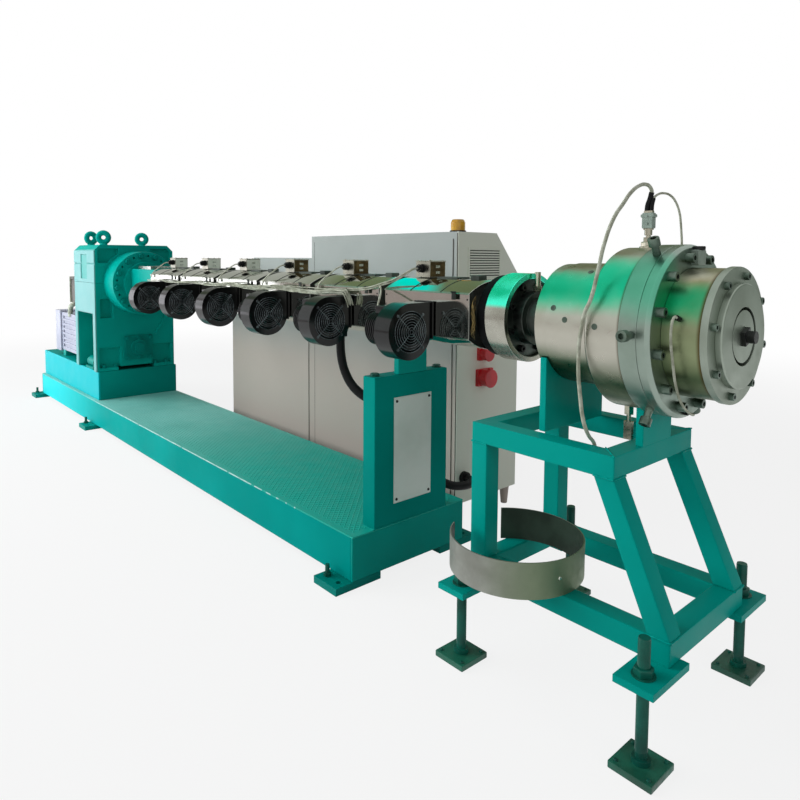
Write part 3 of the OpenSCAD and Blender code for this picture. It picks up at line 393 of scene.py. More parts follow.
# %% Shader helpers
def node_tree(owner):
    owner.use_nodes = True
    tree = owner.node_tree
    tree.nodes.clear()
    return tree


def add(tree, kind, inputs=None, **settings):
    item = tree.nodes.new(kind)
    for key, value in settings.items():
        setattr(item, key, value)
    for label, value in (inputs or {}).items():
        if isinstance(value, bpy.types.NodeSocket):
            tree.links.new(value, item.inputs[label])
        else:
            item.inputs[label].default_value = value
    return item


def object_point(tree):
    return add(tree, "ShaderNodeTexCoord").outputs["Object"]


def math_of(tree, operation, *values):
    return add(tree, "ShaderNodeMath", dict(enumerate(values)), operation=operation).outputs[0]


def vector_of(tree, operation, *values):
    return add(tree, "ShaderNodeVectorMath", dict(enumerate(values)), operation=operation).outputs


def from_point(tree, point):
    return vector_of(tree, "SUBTRACT", object_point(tree), point)["Vector"]


def length_of(tree, vector):
    return vector_of(tree, "LENGTH", vector)["Value"]


def seen_rays(tree):
    path = add(tree, "ShaderNodeLightPath").outputs
    first = math_of(tree, "MAXIMUM", path["Is Camera Ray"], path["Is Glossy Ray"])
    return math_of(tree, "MAXIMUM", first, path["Is Transmission Ray"])


print("shader helpers ready")

# %% [markdown]
# The stage is a pale floor under soft studio light. The background is white because the world and the
# floor show white to the camera and in reflections; the lamps stay at a plain level.

# %% World and floor
FLOOR_SIZE = 60
FLOOR_DROP = 0.0005
FLOOR_GREY = (0.70, 0.71, 0.71, 1)
FLOOR_CENTRE = (-1.7, 0.0)
FADE_START, FADE_END, FADE_SHARE = 3.4, 9.0, 0.84
WORLD_LIGHT = 0.24
WHITE = (1, 1, 1, 1)

world = bpy.data.worlds.new("studio")
bpy.context.scene.world = world
tree = node_tree(world)
soft = add(tree, "ShaderNodeBackground", {"Color": WHITE, "Strength": WORLD_LIGHT})
white = add(tree, "ShaderNodeBackground", {"Color": WHITE, "Strength": 1.0})
mix = add(tree, "ShaderNodeMixShader", {"Fac": seen_rays(tree), 1: soft.outputs[0], 2: white.outputs[0]})
add(tree, "ShaderNodeOutputWorld", {"Surface": mix.outputs[0]})

floor = keep_place(fresh("plane", size=FLOOR_SIZE, location=at(*FLOOR_CENTRE, -FLOOR_DROP)))
floor.name = "floor"
floor_paint = bpy.data.materials.new("floor_white")
tree = node_tree(floor_paint)
surface = add(tree, "ShaderNodeBsdfDiffuse", {"Color": FLOOR_GREY})
glow = add(tree, "ShaderNodeEmission", {"Strength": 1.0})
away = length_of(tree, from_point(tree, at(*FLOOR_CENTRE, 0)))
fade = add(tree, "ShaderNodeMapRange", {"Value": away, "From Min": FADE_START, "From Max": FADE_END,
                                        "To Min": FADE_SHARE, "To Max": 1.0}, interpolation_type="SMOOTHSTEP")
share = math_of(tree, "MULTIPLY", seen_rays(tree), fade.outputs["Result"])
mix = add(tree, "ShaderNodeMixShader", {"Fac": share, 1: surface.outputs[0], 2: glow.outputs[0]})
add(tree, "ShaderNodeOutputMaterial", {"Surface": mix.outputs[0]})
floor.data.materials.append(floor_paint)
print("floor laid")

# %% [markdown]
# A broad lamp from the drive side gives the bright sweep along the base, and three weaker ones fill the
# shadows. The lamps are hidden from reflections, so none glares.

# %% Lamps
def lamp(name, place, target, size, power, color=(1, 1, 1)):
    data = bpy.data.lights.new(name, "AREA")
    data.shape = "RECTANGLE"
    data.size, data.size_y = size
    data.energy = power
    data.color = color
    obj = linked(name, data)
    obj.matrix_world = Matrix.Translation(at(*place)) @ toward(at(*target) - at(*place), "-Z")
    obj.visible_glossy = False


lamp("drive_side_window", (-6.0, -4.4, 2.5), (-2.6, 0, 0.7), (4.2, 3.0), 290, (0.92, 0.99, 1.0))
lamp("overhead", (-3.4, -1.8, 4.6), (-1.8, 0, 0.8), (5.0, 2.4), 70)
lamp("near_fill", (-1.6, -4.6, 2.2), (0.8, 0, 0.8), (2.4, 2.0), 48)
lamp("end_fill", (4.4, -0.6, 1.9), (1.2, 0, 0.6), (1.6, 1.6), 22)
print("lamps set")

# %% [markdown]
# Boards outside the view are seen only in reflections: they give the polished metal the pale windows and the
# green and olive walls of a workshop to mirror. The last one is banded in rings round the barrel's axis, so
# that turned faces pick up a stripe of each colour. An image would do this too, but plain boards need no
# file.

# %% Boards to mirror
def card(name, place, target, size, color):
    obj = fresh("plane", size=1)
    obj.matrix_world = (Matrix.Translation(at(*place)) @ toward(at(*target) - at(*place))
                        @ Matrix.Diagonal((size[0], size[1], 1, 1)))
    keep_place(obj)
    obj.name = name
    paint = bpy.data.materials.new(name)
    tree = node_tree(paint)
    glow = add(tree, "ShaderNodeEmission", {"Color": (*color, 1), "Strength": 1.0})
    add(tree, "ShaderNodeOutputMaterial", {"Surface": glow.outputs[0]})
    obj.data.materials.append(paint)
    obj.visible_camera = obj.visible_diffuse = obj.visible_shadow = False
    return obj


PALE, OLIVE, CYAN, MINT = (0.42, 0.43, 0.39), (0.17, 0.21, 0.11), (0.0, 0.95, 0.80), (0.0, 0.80, 0.55)
card("green_gantry", (-3.6, -1.5, 5.1), (1.0, -0.1, 1.2), (3.4, 2.6), (0.0, 0.42, 0.27))
card("far_wall", (-9.0, 6.5, 5.6), (0, 0, 1.1), (20.0, 13.0), OLIVE)
card("near_wall", (-9.0, -8.5, 2.4), (0, 0, 1.1), (16.0, 5.2), (0.40, 0.33, 0.32))
card("end_wall", (8.0, 7.0, 3.4), (-1.0, 0, 1.1), (20.0, 9.0), (0.26, 0.30, 0.26))
card("window_glow", (-6.0, -4.4, 2.5), (-2.6, 0, 0.7), (4.2, 3.0), (0.95, 1.0, 0.98))
card("fill_glow", (-1.6, -4.6, 2.2), (0.8, 0, 0.8), (2.4, 2.0), (0.75, 0.75, 0.72))
card("rear_window", (-9.0, -3.2, 1.5), (0, -3.2, 1.5), (3.6, 3.0), (2.8, 2.75, 2.9))

BOARD_X = -6.0
board = card("hall_board", (BOARD_X, 4.6, 5.6), (0, 4.6, 5.6), (9.2, 9.0), (0, 0, 0))
tree = board.data.materials[0].node_tree
away = length_of(tree, from_point(tree, at(BOARD_X, 0, AXIS_Z)))
bands = add(tree, "ShaderNodeValToRGB", {"Fac": math_of(tree, "MULTIPLY", away, 0.1)})
stops = [(0.0, PALE), (0.33, PALE), (0.42, OLIVE), (0.515, OLIVE), (0.525, CYAN), (0.60, CYAN), (0.64, OLIVE),
         (0.74, OLIVE), (0.76, MINT), (0.85, MINT), (0.88, OLIVE), (1.0, OLIVE)]
steps = bands.color_ramp.elements
for place, color in stops[1:-1]:
    steps.new(place).color = (*color, 1)
steps[0].color, steps[-1].color = (*stops[0][1], 1), (*stops[-1][1], 1)
tree.links.new(bands.outputs["Color"], tree.nodes["Emission"].inputs["Color"])
print("boards set")

# %% [markdown]
# Finishes are procedural and share a few node groups: mottle mixes two close colours in soft patches, grain
# gives a value that wanders between two limits, turned gives the fine rings that a lathe leaves round the
# barrel axis, painted_reflection tints one side of a round part by its angle round the axis, a painted
# reflection of the workshop, and drift changes a colour along the machine. The Principled shader stays in
# each material, and constants are set on its own sockets.

# %% Shared shader effects
FLOAT, COLOR, VECTOR = "NodeSocketFloat", "NodeSocketColor", "NodeSocketVector"


def new_group(name, inputs, output, kind):
    tree = bpy.data.node_groups.new(name, "ShaderNodeTree")
    for label, socket, value in inputs:
        tree.interface.new_socket(label, in_out="INPUT", socket_type=socket).default_value = value
    tree.interface.new_socket(output, in_out="OUTPUT", socket_type=kind)
    return tree, add(tree, "NodeGroupInput").outputs


def noise_of(tree, scale, detail):
    inputs = {"Vector": object_point(tree), "Scale": scale, "Detail": detail}
    return add(tree, "ShaderNodeTexNoise", inputs).outputs["Fac"]


def blended(tree, value, start, end, first, second):
    ramp = add(tree, "ShaderNodeMapRange", {"Value": value, "From Min": start, "From Max": end},
               interpolation_type="SMOOTHSTEP")
    blend = add(tree, "ShaderNodeMix", {"Factor": ramp.outputs["Result"], "A": first, "B": second},
                data_type="RGBA")
    add(tree, "NodeGroupOutput", {"Color": blend.outputs["Result"]})


mottle, given = new_group("mottle", [
    ("Color A", COLOR, (1, 1, 1, 1)), ("Color B", COLOR, (0, 0, 0, 1)), ("Scale", FLOAT, 4.0),
    ("Low", FLOAT, 0.35), ("High", FLOAT, 0.65)], "Color", COLOR)
blended(mottle, noise_of(mottle, given["Scale"], 6), given["Low"], given["High"], given["Color A"],
        given["Color B"])

grain, given = new_group("grain", [
    ("Scale", FLOAT, 30.0), ("Low", FLOAT, 0.2), ("High", FLOAT, 0.4)], "Value", FLOAT)
ramp = add(grain, "ShaderNodeMapRange", {
    "Value": noise_of(grain, given["Scale"], 4), "From Min": 0.3, "From Max": 0.7,
    "To Min": given["Low"], "To Max": given["High"]})
add(grain, "NodeGroupOutput", {"Value": ramp.outputs["Result"]})

turned, given = new_group("turned", [("Pitch", FLOAT, 500.0)], "Height", FLOAT)
split = add(turned, "ShaderNodeSeparateXYZ", {0: from_point(turned, at(0, 0, AXIS_Z))}).outputs
flat = add(turned, "ShaderNodeCombineXYZ", {"Y": split["Y"], "Z": split["Z"]})
total = math_of(turned, "ADD", length_of(turned, flat.outputs[0]), split["X"])
scaled = math_of(turned, "MULTIPLY", total, given["Pitch"])
rings = add(turned, "ShaderNodeTexNoise", {"W": scaled, "Detail": 3, "Scale": 1.0}, noise_dimensions="1D")
add(turned, "NodeGroupOutput", {"Height": rings.outputs["Fac"]})

# painted_reflection tints the side of a round part that faces Toward: a painted reflection of the workshop.
painted_reflection, given = new_group("painted_reflection", [
    ("Color", COLOR, (1, 1, 1, 1)), ("Tint", COLOR, (0, 1, 0, 1)), ("Toward", VECTOR, (0, 0, 1)),
    ("Low", FLOAT, 0.9), ("High", FLOAT, 1.0)], "Color", COLOR)
flat = vector_of(painted_reflection, "MULTIPLY", from_point(painted_reflection, at(0, 0, AXIS_Z)), (0, 1, 1))["Vector"]
unit = vector_of(painted_reflection, "NORMALIZE", flat)["Vector"]
facing = vector_of(painted_reflection, "DOT_PRODUCT", unit, given["Toward"])["Value"]
wander = math_of(painted_reflection, "MULTIPLY_ADD", noise_of(painted_reflection, 6.0, 5), 0.10, facing)
blended(painted_reflection, wander, given["Low"], given["High"], given["Color"], given["Tint"])

drift, given = new_group("drift", [
    ("Color", COLOR, (1, 1, 1, 1)), ("Tint", COLOR, (0, 1, 1, 1)), ("Along", VECTOR, (1, 0, 0)),
    ("Start", FLOAT, 0.0), ("End", FLOAT, 1.0)], "Color", COLOR)
reach = vector_of(drift, "DOT_PRODUCT", object_point(drift), given["Along"])["Value"]
blended(drift, reach, given["Start"], given["End"], given["Color"], given["Tint"])
print("groups:", [g.name for g in bpy.data.node_groups])

# %% [markdown]
# One recipe makes every finish from a pair of colours, a pair of roughness limits and a small bump. The
# teal machine enamel is glossy with a slight orange peel; the die is oiled turned steel; the zone covers
# are mirror-polished stainless sheet; the blowers are satin black. A run changes the colour along one axis:
# on some paints it is painted light on a lit side or end, and on the die steel it darkens towards a joint.

# %% Recipe for finishes
COAT_ROUGHNESS = 0.12
BUMP_DEPTH = 0.0006
LATHE_PITCH = 700.0


def rgb(code):
    parts = [int(code[i:i + 2], 16) / 255 for i in (1, 3, 5)]
    return [p / 12.92 if p <= 0.04045 else ((p + 0.055) / 1.055) ** 2.4 for p in parts] + [1]


def use_group(tree, group, **inputs):
    values = {label.replace("_", " "): value for label, value in inputs.items()}
    return add(tree, "ShaderNodeGroup", values, node_tree=group).outputs[0]


def finish(name, light, dark, rough, scale=3.0, metallic=0.0, coat=0.0, bump=0.0, bump_scale=220.0,
           lathe=0.0, specular=0.5, painted_reflections=(), runs=()):
    material = bpy.data.materials.new(name)
    tree = node_tree(material)
    color = use_group(tree, mottle, Color_A=rgb(light), Color_B=rgb(dark), Scale=scale)
    for tint, side, limits in painted_reflections:
        color = use_group(tree, painted_reflection, Color=color, Tint=rgb(tint), Toward=side, Low=limits[0], High=limits[1])
    for tint, axis, start, end in runs:
        along = Vector((axis == "X", axis == "Y", axis == "Z"))
        origin = along.dot(at(0, 0, 0))
        color = use_group(tree, drift, Color=color, Tint=rgb(tint), Along=along, Start=origin + start,
                          End=origin + end)
    sheen = use_group(tree, grain, Scale=scale * 6, Low=rough[0], High=rough[1])
    shader = add(tree, "ShaderNodeBsdfPrincipled", {
        "Base Color": color, "Roughness": sheen, "Metallic": metallic, "Coat Weight": coat,
        "Coat Roughness": COAT_ROUGHNESS, "Specular IOR Level": specular})
    if bump or lathe:
        height = (use_group(tree, turned, Pitch=LATHE_PITCH) if lathe
                  else use_group(tree, grain, Scale=bump_scale, Low=0.0, High=1.0))
        relief = add(tree, "ShaderNodeBump",
                     {"Strength": lathe or bump, "Distance": BUMP_DEPTH, "Height": height})
        tree.links.new(relief.outputs[0], shader.inputs["Normal"])
    add(tree, "ShaderNodeOutputMaterial", {"Surface": shader.outputs[0]})
    return material


def enamel(name, light, dark, specular=0.05, runs=()):
    return finish(name, light, dark, (0.3, 0.42), 1.6, bump=0.12, specular=specular, runs=runs)


print("recipe ready")

# %% [markdown]
# The paints are enamels in teal, deck green and grey. Runs paint light on the near side of the gearbox and
# the plinth and on the rear of the rails, darker copies of the teal are painted shade, and a run turns the
# deck greener towards the front.

# %% Paints
TEAL = enamel("teal_enamel", "#00a89c", "#009b90")
# The run paints light on the gearbox's near side, which turns pale towards y = -0.300.
TEAL_GEAR = enamel("teal_gearbox", "#00a89c", "#009b90", runs=[("#7db7b7", "Y", -0.288, -0.300)])
# The run paints cyan light on the plinth's near side.
TEAL_PLINTH = enamel("teal_plinth", "#009a90", "#008e85", runs=[("#00bec7", "Y", -0.270, -0.286)])
# The run paints the window's light on the rear of the rails: the teal turns bright cyan from x = -2.6 back to
# x = -4.6.
TEAL_RAIL = enamel("teal_rail", "#00a39d", "#009790", 0.01, [("#30d8de", "X", -2.6, -4.6)])
# A darker copy of the teal for the post, painted shade on its front.
TEAL_POST = enamel("teal_post", "#00988e", "#008c83", 0.02)
# A darker copy of the teal, painted shade, for the front cover, the feet, the pump and the bolts in shade.
TEAL_SHADED = finish("teal_enamel_shaded", "#009186", "#008279", (0.32, 0.44), 1.6, bump=0.12, specular=0.05)
JACK_GREEN = finish("jack_enamel", "#0e6354", "#0a4a3f", (0.3, 0.46), 12.0, bump=0.2, specular=0.3)
# The run turns the deck greener from x = -2.6 towards the front.
DECK = finish("deck_enamel", "#82cbc3", "#72bdb4", (0.36, 0.52), 2.2, bump=0.2, specular=0.2,
              runs=[("#14b3a2", "X", -2.6, -0.6)])
PALE_EDGE = finish("pale_edge", "#c4e8e2", "#9cd4cc", (0.4, 0.6), 14.0)
PAD_GREEN = finish("pad_enamel", "#1c6a55", "#124838", (0.35, 0.55), 9.0, bump=0.2)
MOTOR_GREY = finish("motor_grey", "#b4b5c6", "#a3a5b8", (0.35, 0.5), 5.0, bump=0.15)
MOTOR_DARK = finish("motor_dark", "#56524c", "#3c3a36", (0.45, 0.6), 6.0, bump=0.2)
print("paints:", len(bpy.data.materials))

# %% [markdown]
# The metals differ in colour, in gloss and in the lathe marks. Painted reflections tint the die rings by
# their angle round the axis, green above the near side and pale and olive below, and a dark run marks each
# joint.

# %% Metals
# Painted reflections on the die rings: pale below the near side, olive underneath, green above the near side.
DIE_PAINTED_REFLECTIONS = [("#b9b7ab", (0, -0.90, -0.42), (0.72, 1.02)), ("#5d6d54", (0, -0.30, -0.95), (0.56, 0.90)),
             ("#22c294", (0, -0.79, 0.62), (0.93, 1.05))]
SEAM_MAIN, SEAM_HOLDER = high("die_main_body").x, high("die_holder").x
OILED_STEEL = finish("oiled_steel", "#c2c6ba", "#a39c86", (0.26, 0.42), 5.0, metallic=1.0, lathe=0.16,
                     painted_reflections=DIE_PAINTED_REFLECTIONS, runs=[("#4a4433", "X", SEAM_MAIN - 0.012, SEAM_MAIN)])
# The holder gets the same painted reflections in duller colours: olive below, green above the near side.
HOLDER_STEEL = finish("holder_steel", "#b4b6a2", "#8f8560", (0.3, 0.44), 5.0, metallic=1.0, lathe=0.16,
                      painted_reflections=[("#86906e", (0, -0.90, -0.42), (0.66, 0.96)),
                             ("#5c6a4c", (0, -0.30, -0.95), (0.56, 0.90)),
                             ("#179a68", (0, -0.84, 0.54), (0.95, 1.06))],
                      runs=[("#4d3f22", "X", SEAM_HOLDER - 0.014, SEAM_HOLDER)])
PLAIN_STEEL = finish("plain_turned_steel", "#a1aba0", "#8d978b", (0.38, 0.5), 4.0, metallic=1.0, lathe=0.02)
# A painted cyan reflection lies on the top of the clamp ring.
CLAMP_STEEL = finish("clamp_steel", "#b4b3a8", "#9d9c91", (0.2, 0.32), 5.0, metallic=1.0, lathe=0.1,
                     painted_reflections=[("#4cffd8", (0, -0.35, 0.94), (0.60, 0.70))])
# A painted green reflection lies above the near side of the flanges.
FLANGE_STEEL = finish("flange_steel", "#9aa99f", "#849388", (0.3, 0.44), 4.0, metallic=1.0, lathe=0.1,
                      painted_reflections=[("#5da98d", (0, -0.79, 0.62), (0.90, 1.05))])
DARK_FACE = finish("dark_steel_face", "#5a615c", "#363b38", (0.3, 0.46), 9.0, metallic=1.0, lathe=0.2)
BRIGHT_STEEL = finish("bright_steel", "#cfd2cc", "#b3b8b0", (0.16, 0.3), 7.0, metallic=1.0, lathe=0.12)
FITTING = finish("fitting_steel", "#bfbba9", "#9b9787", (0.22, 0.36), 16.0, metallic=1.0)
BAND_STEEL = finish("band_steel", "#a3a59e", "#8b8d85", (0.4, 0.58), 7.0, metallic=0.6,
                    runs=[("#77866b", "X", 0.70, 0.90)])
BAND_INSIDE = finish("band_inside", "#3b4a3f", "#2b372e", (0.5, 0.66), 9.0, specular=0.2)
ALUMINIUM = finish("cast_aluminium", "#6f726c", "#585b56", (0.42, 0.58), 9.0, metallic=0.9, bump=0.3)
STAINLESS = finish("polished_stainless", "#d7dad2", "#c6cac0", (0.05, 0.1), 2.0, metallic=1.0)
print("with metals:", len(bpy.data.materials))

# %% [markdown]
# Black paint, small hardware, plastics and cable coverings come last. The cables were laid before the
# finishes, so they get theirs here.

# %% Hardware, plastics and cable coverings
BLACK = finish("satin_black", "#0c0d0e", "#070809", (0.32, 0.42), 8.0, coat=0.5, bump=0.12, bump_scale=500,
               specular=0.08)
FLANGE_BLACK = finish("flange_black", "#0a0b0c", "#060708", (0.4, 0.52), 9.0, bump=0.12, bump_scale=500,
                      specular=0.06)
WIRE_STEEL = finish("grille_wire", "#737b7e", "#4b5254", (0.2, 0.34), 20.0, metallic=1.0)
SCREW_STEEL = finish("screw_steel", "#6e7f73", "#4d5b52", (0.28, 0.44), 22.0, metallic=0.9)
DARK_BOLT = finish("blackened_bolt", "#3a3c3b", "#202221", (0.32, 0.5), 30.0, metallic=0.8)
PALE_BOLT = finish("zinc_bolt", "#cfd3c8", "#a8ad9f", (0.22, 0.38), 30.0, metallic=1.0)
BOX_STEEL = finish("box_steel", "#b4b2a4", "#98978a", (0.24, 0.38), 14.0, metallic=1.0)
BOX_BROWN = finish("box_brown", "#6b5a38", "#46391f", (0.3, 0.45), 30.0, metallic=0.8,
                   runs=[("#e6eade", "X", -0.8, -1.4)])
PLUG_GREY = finish("plug_grey", "#a5b5ab", "#8d9d93", (0.4, 0.55), 18.0, specular=0.3)
# The first run turns the grey warmer towards the bottom; the second paints light on the console's end, which
# turns pale past x = -0.186.
CONSOLE = finish("console_grey", "#adb2b0", "#a2a8a5", (0.42, 0.55), 1.4, bump=0.18, specular=0.3,
                 runs=[("#b9aca4", "Z", 1.0, 0.6), ("#eef2e4", "X", -0.186, -0.171)])
COVER_GREY = finish("cover_grey", "#f0f5ee", "#e2e9e0", (0.4, 0.52), 4.0, bump=0.12)
RED = finish("red_plastic", "#d8202a", "#b9141e", (0.28, 0.4), 12.0)
AMBER = finish("amber_plastic", "#e6b000", "#c98f00", (0.15, 0.26), 12.0, coat=0.4)
CABLE_BLACK = finish("cable_black", "#161718", "#0d0e0f", (0.42, 0.58), 20.0, bump=0.2, bump_scale=600,
                     specular=0.15)
CABLE_PALE = finish("cable_pale", "#c9ccbb", "#9fa28e", (0.5, 0.68), 40.0, bump=0.4, bump_scale=900)
BRASS_WIRE = finish("brass_wire", "#8d7a4a", "#5f5130", (0.34, 0.5), 40.0, metallic=0.7)
# SHADOW is painted shade, laid inside the louvre frame.
SHADOW = finish("painted_shade", "#0b0d0c", "#060707", (0.6, 0.8), 10.0)
for name, cord in cords.items():
    cord.data.materials.append(CABLE_BLACK if name == "conduit" else CABLE_PALE)
print("finishes:", len(bpy.data.materials))

# %% [markdown]
# The base is a welded frame of channels with a plate across each end. Its CAD shape is right, so each node
# is copied, its triangles merged, and its edges rounded by a small bevel, as paint and rolling round them.
# Light then catches every edge, which plain CAD edges never do.

# %% Base frame
for node, width, paint in (
        ("base_side_rails", 0.004, TEAL_RAIL), ("base_cross_plates", 0.003, TEAL),
        ("anchor_feet", 0.003, TEAL_SHADED), ("drive_plinth", 0.004, TEAL_PLINTH),
        ("levelling_screws", 0.001, JACK_GREEN), ("deck_plate", 0.001, DECK)):
    softened(node, width, paint)
print("base frame softened")

# %% [markdown]
# The deck is chequer plate. One lozenge is a flattened cube with a smaller top; four make the pattern, two
# each way, and two array steps repeat it over the walking area. Real relief catches the light along the
# deck as the rolled steel does, which a bump alone would not at this flat angle.

# %% Deck tread
LOZENGE = (0.024, 0.0065, 0.0012)
TREAD_PITCH = 0.030
EDGE_MARGIN = 0.022
deck_low, deck_high = low("deck_plate"), high("deck_plate")
tread_start = high("drive_plinth").x + EDGE_MARGIN
tread_length = deck_high.x - tread_start - EDGE_MARGIN
tread_width = deck_high.y - deck_low.y - 2 * EDGE_MARGIN

lozenge = cube((-LOZENGE[0] / 2, -LOZENGE[1] / 2, 0), (LOZENGE[0] / 2, LOZENGE[1] / 2, LOZENGE[2]))
pick(lozenge, "polygons", lambda face: face.normal.z > FACES_UP)
bpy.ops.transform.resize(value=(0.72, 0.45, 1))
mode("OBJECT")
half = TREAD_PITCH / 2
pattern = joined(spread(lozenge, [
    Matrix.Translation((x, y, 0)) @ Matrix.Rotation(math.radians(turned_by), 4, "Z")
    for x, y, turned_by in ((0, 0, 45), (half, half, 45), (half, 0, -45), (0, half, -45))]))
for count, axis in ((int(tread_length / TREAD_PITCH), 0), (int(tread_width / TREAD_PITCH), 1)):
    step = [0.0, 0.0, 0.0]
    step[axis] = TREAD_PITCH
    shape(pattern, "ARRAY", count=count, use_relative_offset=False, use_constant_offset=True,
          constant_offset_displace=step)
pattern.location = at(tread_start + half, deck_low.y + EDGE_MARGIN + half, deck_high.z)
settle(pattern, "deck_tread", DECK, "deck_paint", 20)
print("tread faces:", len(pattern.data.polygons))

# %% [markdown]
# A bright line runs along the near edge of the deck, broken towards the front. It is a row of thin pale
# strips on the edge of the plate, with rounded ends, each a little proud.

# %% Pale deck edge
PALE_RUNS = [(-3.17, -2.30), (-2.28, -1.62), (-1.60, -1.05), (-1.03, -0.80), (-0.77, -0.70), (-0.66, -0.62),
             (-0.57, -0.55), (-0.49, -0.48), (-0.42, -0.41)]
strips = [slab(run, (deck_low.y - 0.0012, deck_low.y + 0.002),
               (deck_high.z - 0.0052, deck_high.z + 0.0006), 0.0008) for run in PALE_RUNS]
settle(joined(strips), "deck_pale_edge", PALE_EDGE, "deck_paint")
print("worn strips:", len(PALE_RUNS))

# %% [markdown]
# Bolts hold nearly every part of the machine. A hexagon bolt is a six-sided prism with a chamfered head on
# a washer; a socket screw is a drum with a hexagonal hole cut into it. Each is modelled once per size and
# copied to its places, so all heads of one kind match.

# %% Bolts
def put(point, direction=(1, 0, 0), spin=0.0):
    return Matrix.Translation(point) @ toward(direction) @ Matrix.Rotation(math.radians(spin), 4, "Z")


def hex_bolt(across, height, washer=0.003):
    head = pole((0, 0, washer), (0, 0, washer + height), across / math.sqrt(3), sides=6)
    pick(head, "polygons", lambda face: face.normal.z > FACES_UP)
    bpy.ops.mesh.inset(thickness=across * 0.09)
    bpy.ops.transform.translate(value=(0, 0, across * 0.06))
    mode("OBJECT")
    soft_edges(head, across * 0.02, 1)
    return joined([head, pole((0, 0, -0.001), (0, 0, washer), across * 0.68, sides=24, edge=washer * 0.3)])


def socket_screw(radius, height):
    head = pole((0, 0, -0.001), (0, 0, height), radius, sides=28, edge=radius * 0.1)
    return cut(head, pole((0, 0, height * 0.4), (0, 0, height * 1.4), radius * 0.55, sides=6))


print("bolts can be made")

# %% [markdown]
# The drive is a cast gearbox in two halves on the plinth, with a round thrust bearing housing towards the
# barrel and the motor behind. The castings keep their CAD shape with rounded edges; the bearing housing
# gets tapped jacking holes between its twelve bolts, cut with a ring of drills.

# %% Gearbox castings
for node, width, paint in (
        ("gearbox_lower_housing", 0.006, TEAL_GEAR), ("gearbox_upper_housing", 0.006, TEAL_GEAR),
        ("gearbox_front_cover", 0.003, TEAL_SHADED), ("motor_bell", 0.004, TEAL),
        ("motor_feet", 0.004, TEAL), ("motor_body", 0.0015, MOTOR_GREY),
        ("motor_rear_cover", 0.008, MOTOR_GREY), ("motor_terminal_box", 0.005, MOTOR_DARK),
        ("oil_pump", 0.003, TEAL_SHADED),
        ("feed_section", 0.005, TEAL), ("hopper_flange", 0.002, BRIGHT_STEEL)):
    softened(node, width, paint)

COLLAR_L = 0.026
BEARING_BOLT_R = 0.206
gear_front = high("gearbox_upper_housing").x
flange_face = high("bearing_housing").x - COLLAR_L
bearing = softened("bearing_housing", 0.005, TEAL)
drills = [pole(p - Vector((0.02, 0, 0)), p + Vector((0.01, 0, 0)), 0.009, sides=20)
          for p in around_x(12, BEARING_BOLT_R, flange_face, 7)]
cut(bearing, joined(drills))
bolts = spread(hex_bolt(0.034, 0.020), [put(p, spin=11 * k) for k, p in enumerate(
    around_x(12, BEARING_BOLT_R, flange_face, 22))])
settle(joined(bolts), "bearing_bolts", TEAL_SHADED, "teal_paint")
print("bearing face at", round(flange_face, 3))

# %% [markdown]
# Three cast eyes lift the gearbox. Each is a thick ring on a low collar, screwed in until it is tight, so
# each faces its own way. A torus and a tapered drum make one.

# %% Lifting eyes
gear_rear, gear_top = low("gearbox_upper_housing").x, high("gearbox_upper_housing").z
EYE_R, EYE_WIRE, EYE_UP, EYE_Y = 0.035, 0.020, 0.057, 0.200
rings = []
for x, y, facing in ((gear_rear + 0.112, -EYE_Y, 12), (gear_rear + 0.112, EYE_Y, -20),
                     (gear_front - 0.090, -EYE_Y, -25)):
    rings.append(torus(at(x, y, gear_top + EYE_UP), EYE_R, EYE_WIRE, 48, 20, facing))
    rings.append(pole(at(x, y, gear_top - 0.001), at(x, y, gear_top + 0.014), 0.030, 0.024, edge=0.003))
settle(joined(rings), "lifting_eyes_finished", TEAL, "teal_paint", 40, ["lifting_eyes"])
print("lifting eyes:", len(rings) // 2)

# %% [markdown]
# Smaller fittings make the gearbox read as a casting: bolts in the four corner pockets, bolts round the
# lower cover, a stiffening rib, the pipe of the oil pump, and the pale trim and elbow of the motor's terminal
# box. Bolts in pockets stand on the pocket floor, so they are upright hexagon bolts.

# %% Gearbox fittings
POCKET_Y = 0.197
gear_low = low("gearbox_lower_housing")
upright = [(gear_front - 0.016, side * POCKET_Y + k, gear_low.z + 0.028)
           for side in (-1, 1) for k in (-0.042, 0.042)]
bolts = spread(hex_bolt(0.026, 0.018), [put(at(*p), (0, 0, 1)) for p in upright])
settle(joined(bolts), "pocket_bolts", TEAL_SHADED, "teal_paint")
lid_low, lid_high = low("gearbox_front_cover"), high("gearbox_front_cover")
corners = [(lid_low.x + 0.014, y, z)
           for y in (lid_low.y + 0.022, (lid_low.y + lid_high.y) / 2, lid_high.y - 0.022)
           for z in (lid_low.z + 0.018, lid_high.z - 0.018)]
bolts = spread(hex_bolt(0.022, 0.014), [put(at(*p), spin=17 * k) for k, p in enumerate(corners)])
settle(joined(bolts), "front_cover_bolts", TEAL_SHADED, "teal_paint")
rib_start, rib_end = at(gear_front - 0.002, 0.150, 0.690), at(gear_front - 0.002, 0.245, 0.850)
rib = cube((-0.005, -0.010, 0), (0.014, 0.010, (rib_end - rib_start).length), 0.003)
tilt = math.atan2(rib_end.y - rib_start.y, rib_end.z - rib_start.z)
rib.data.transform(Matrix.Translation(rib_start) @ Matrix.Rotation(-tilt, 4, "X"))
settle(rib, "gearbox_rib", TEAL, "teal_paint")

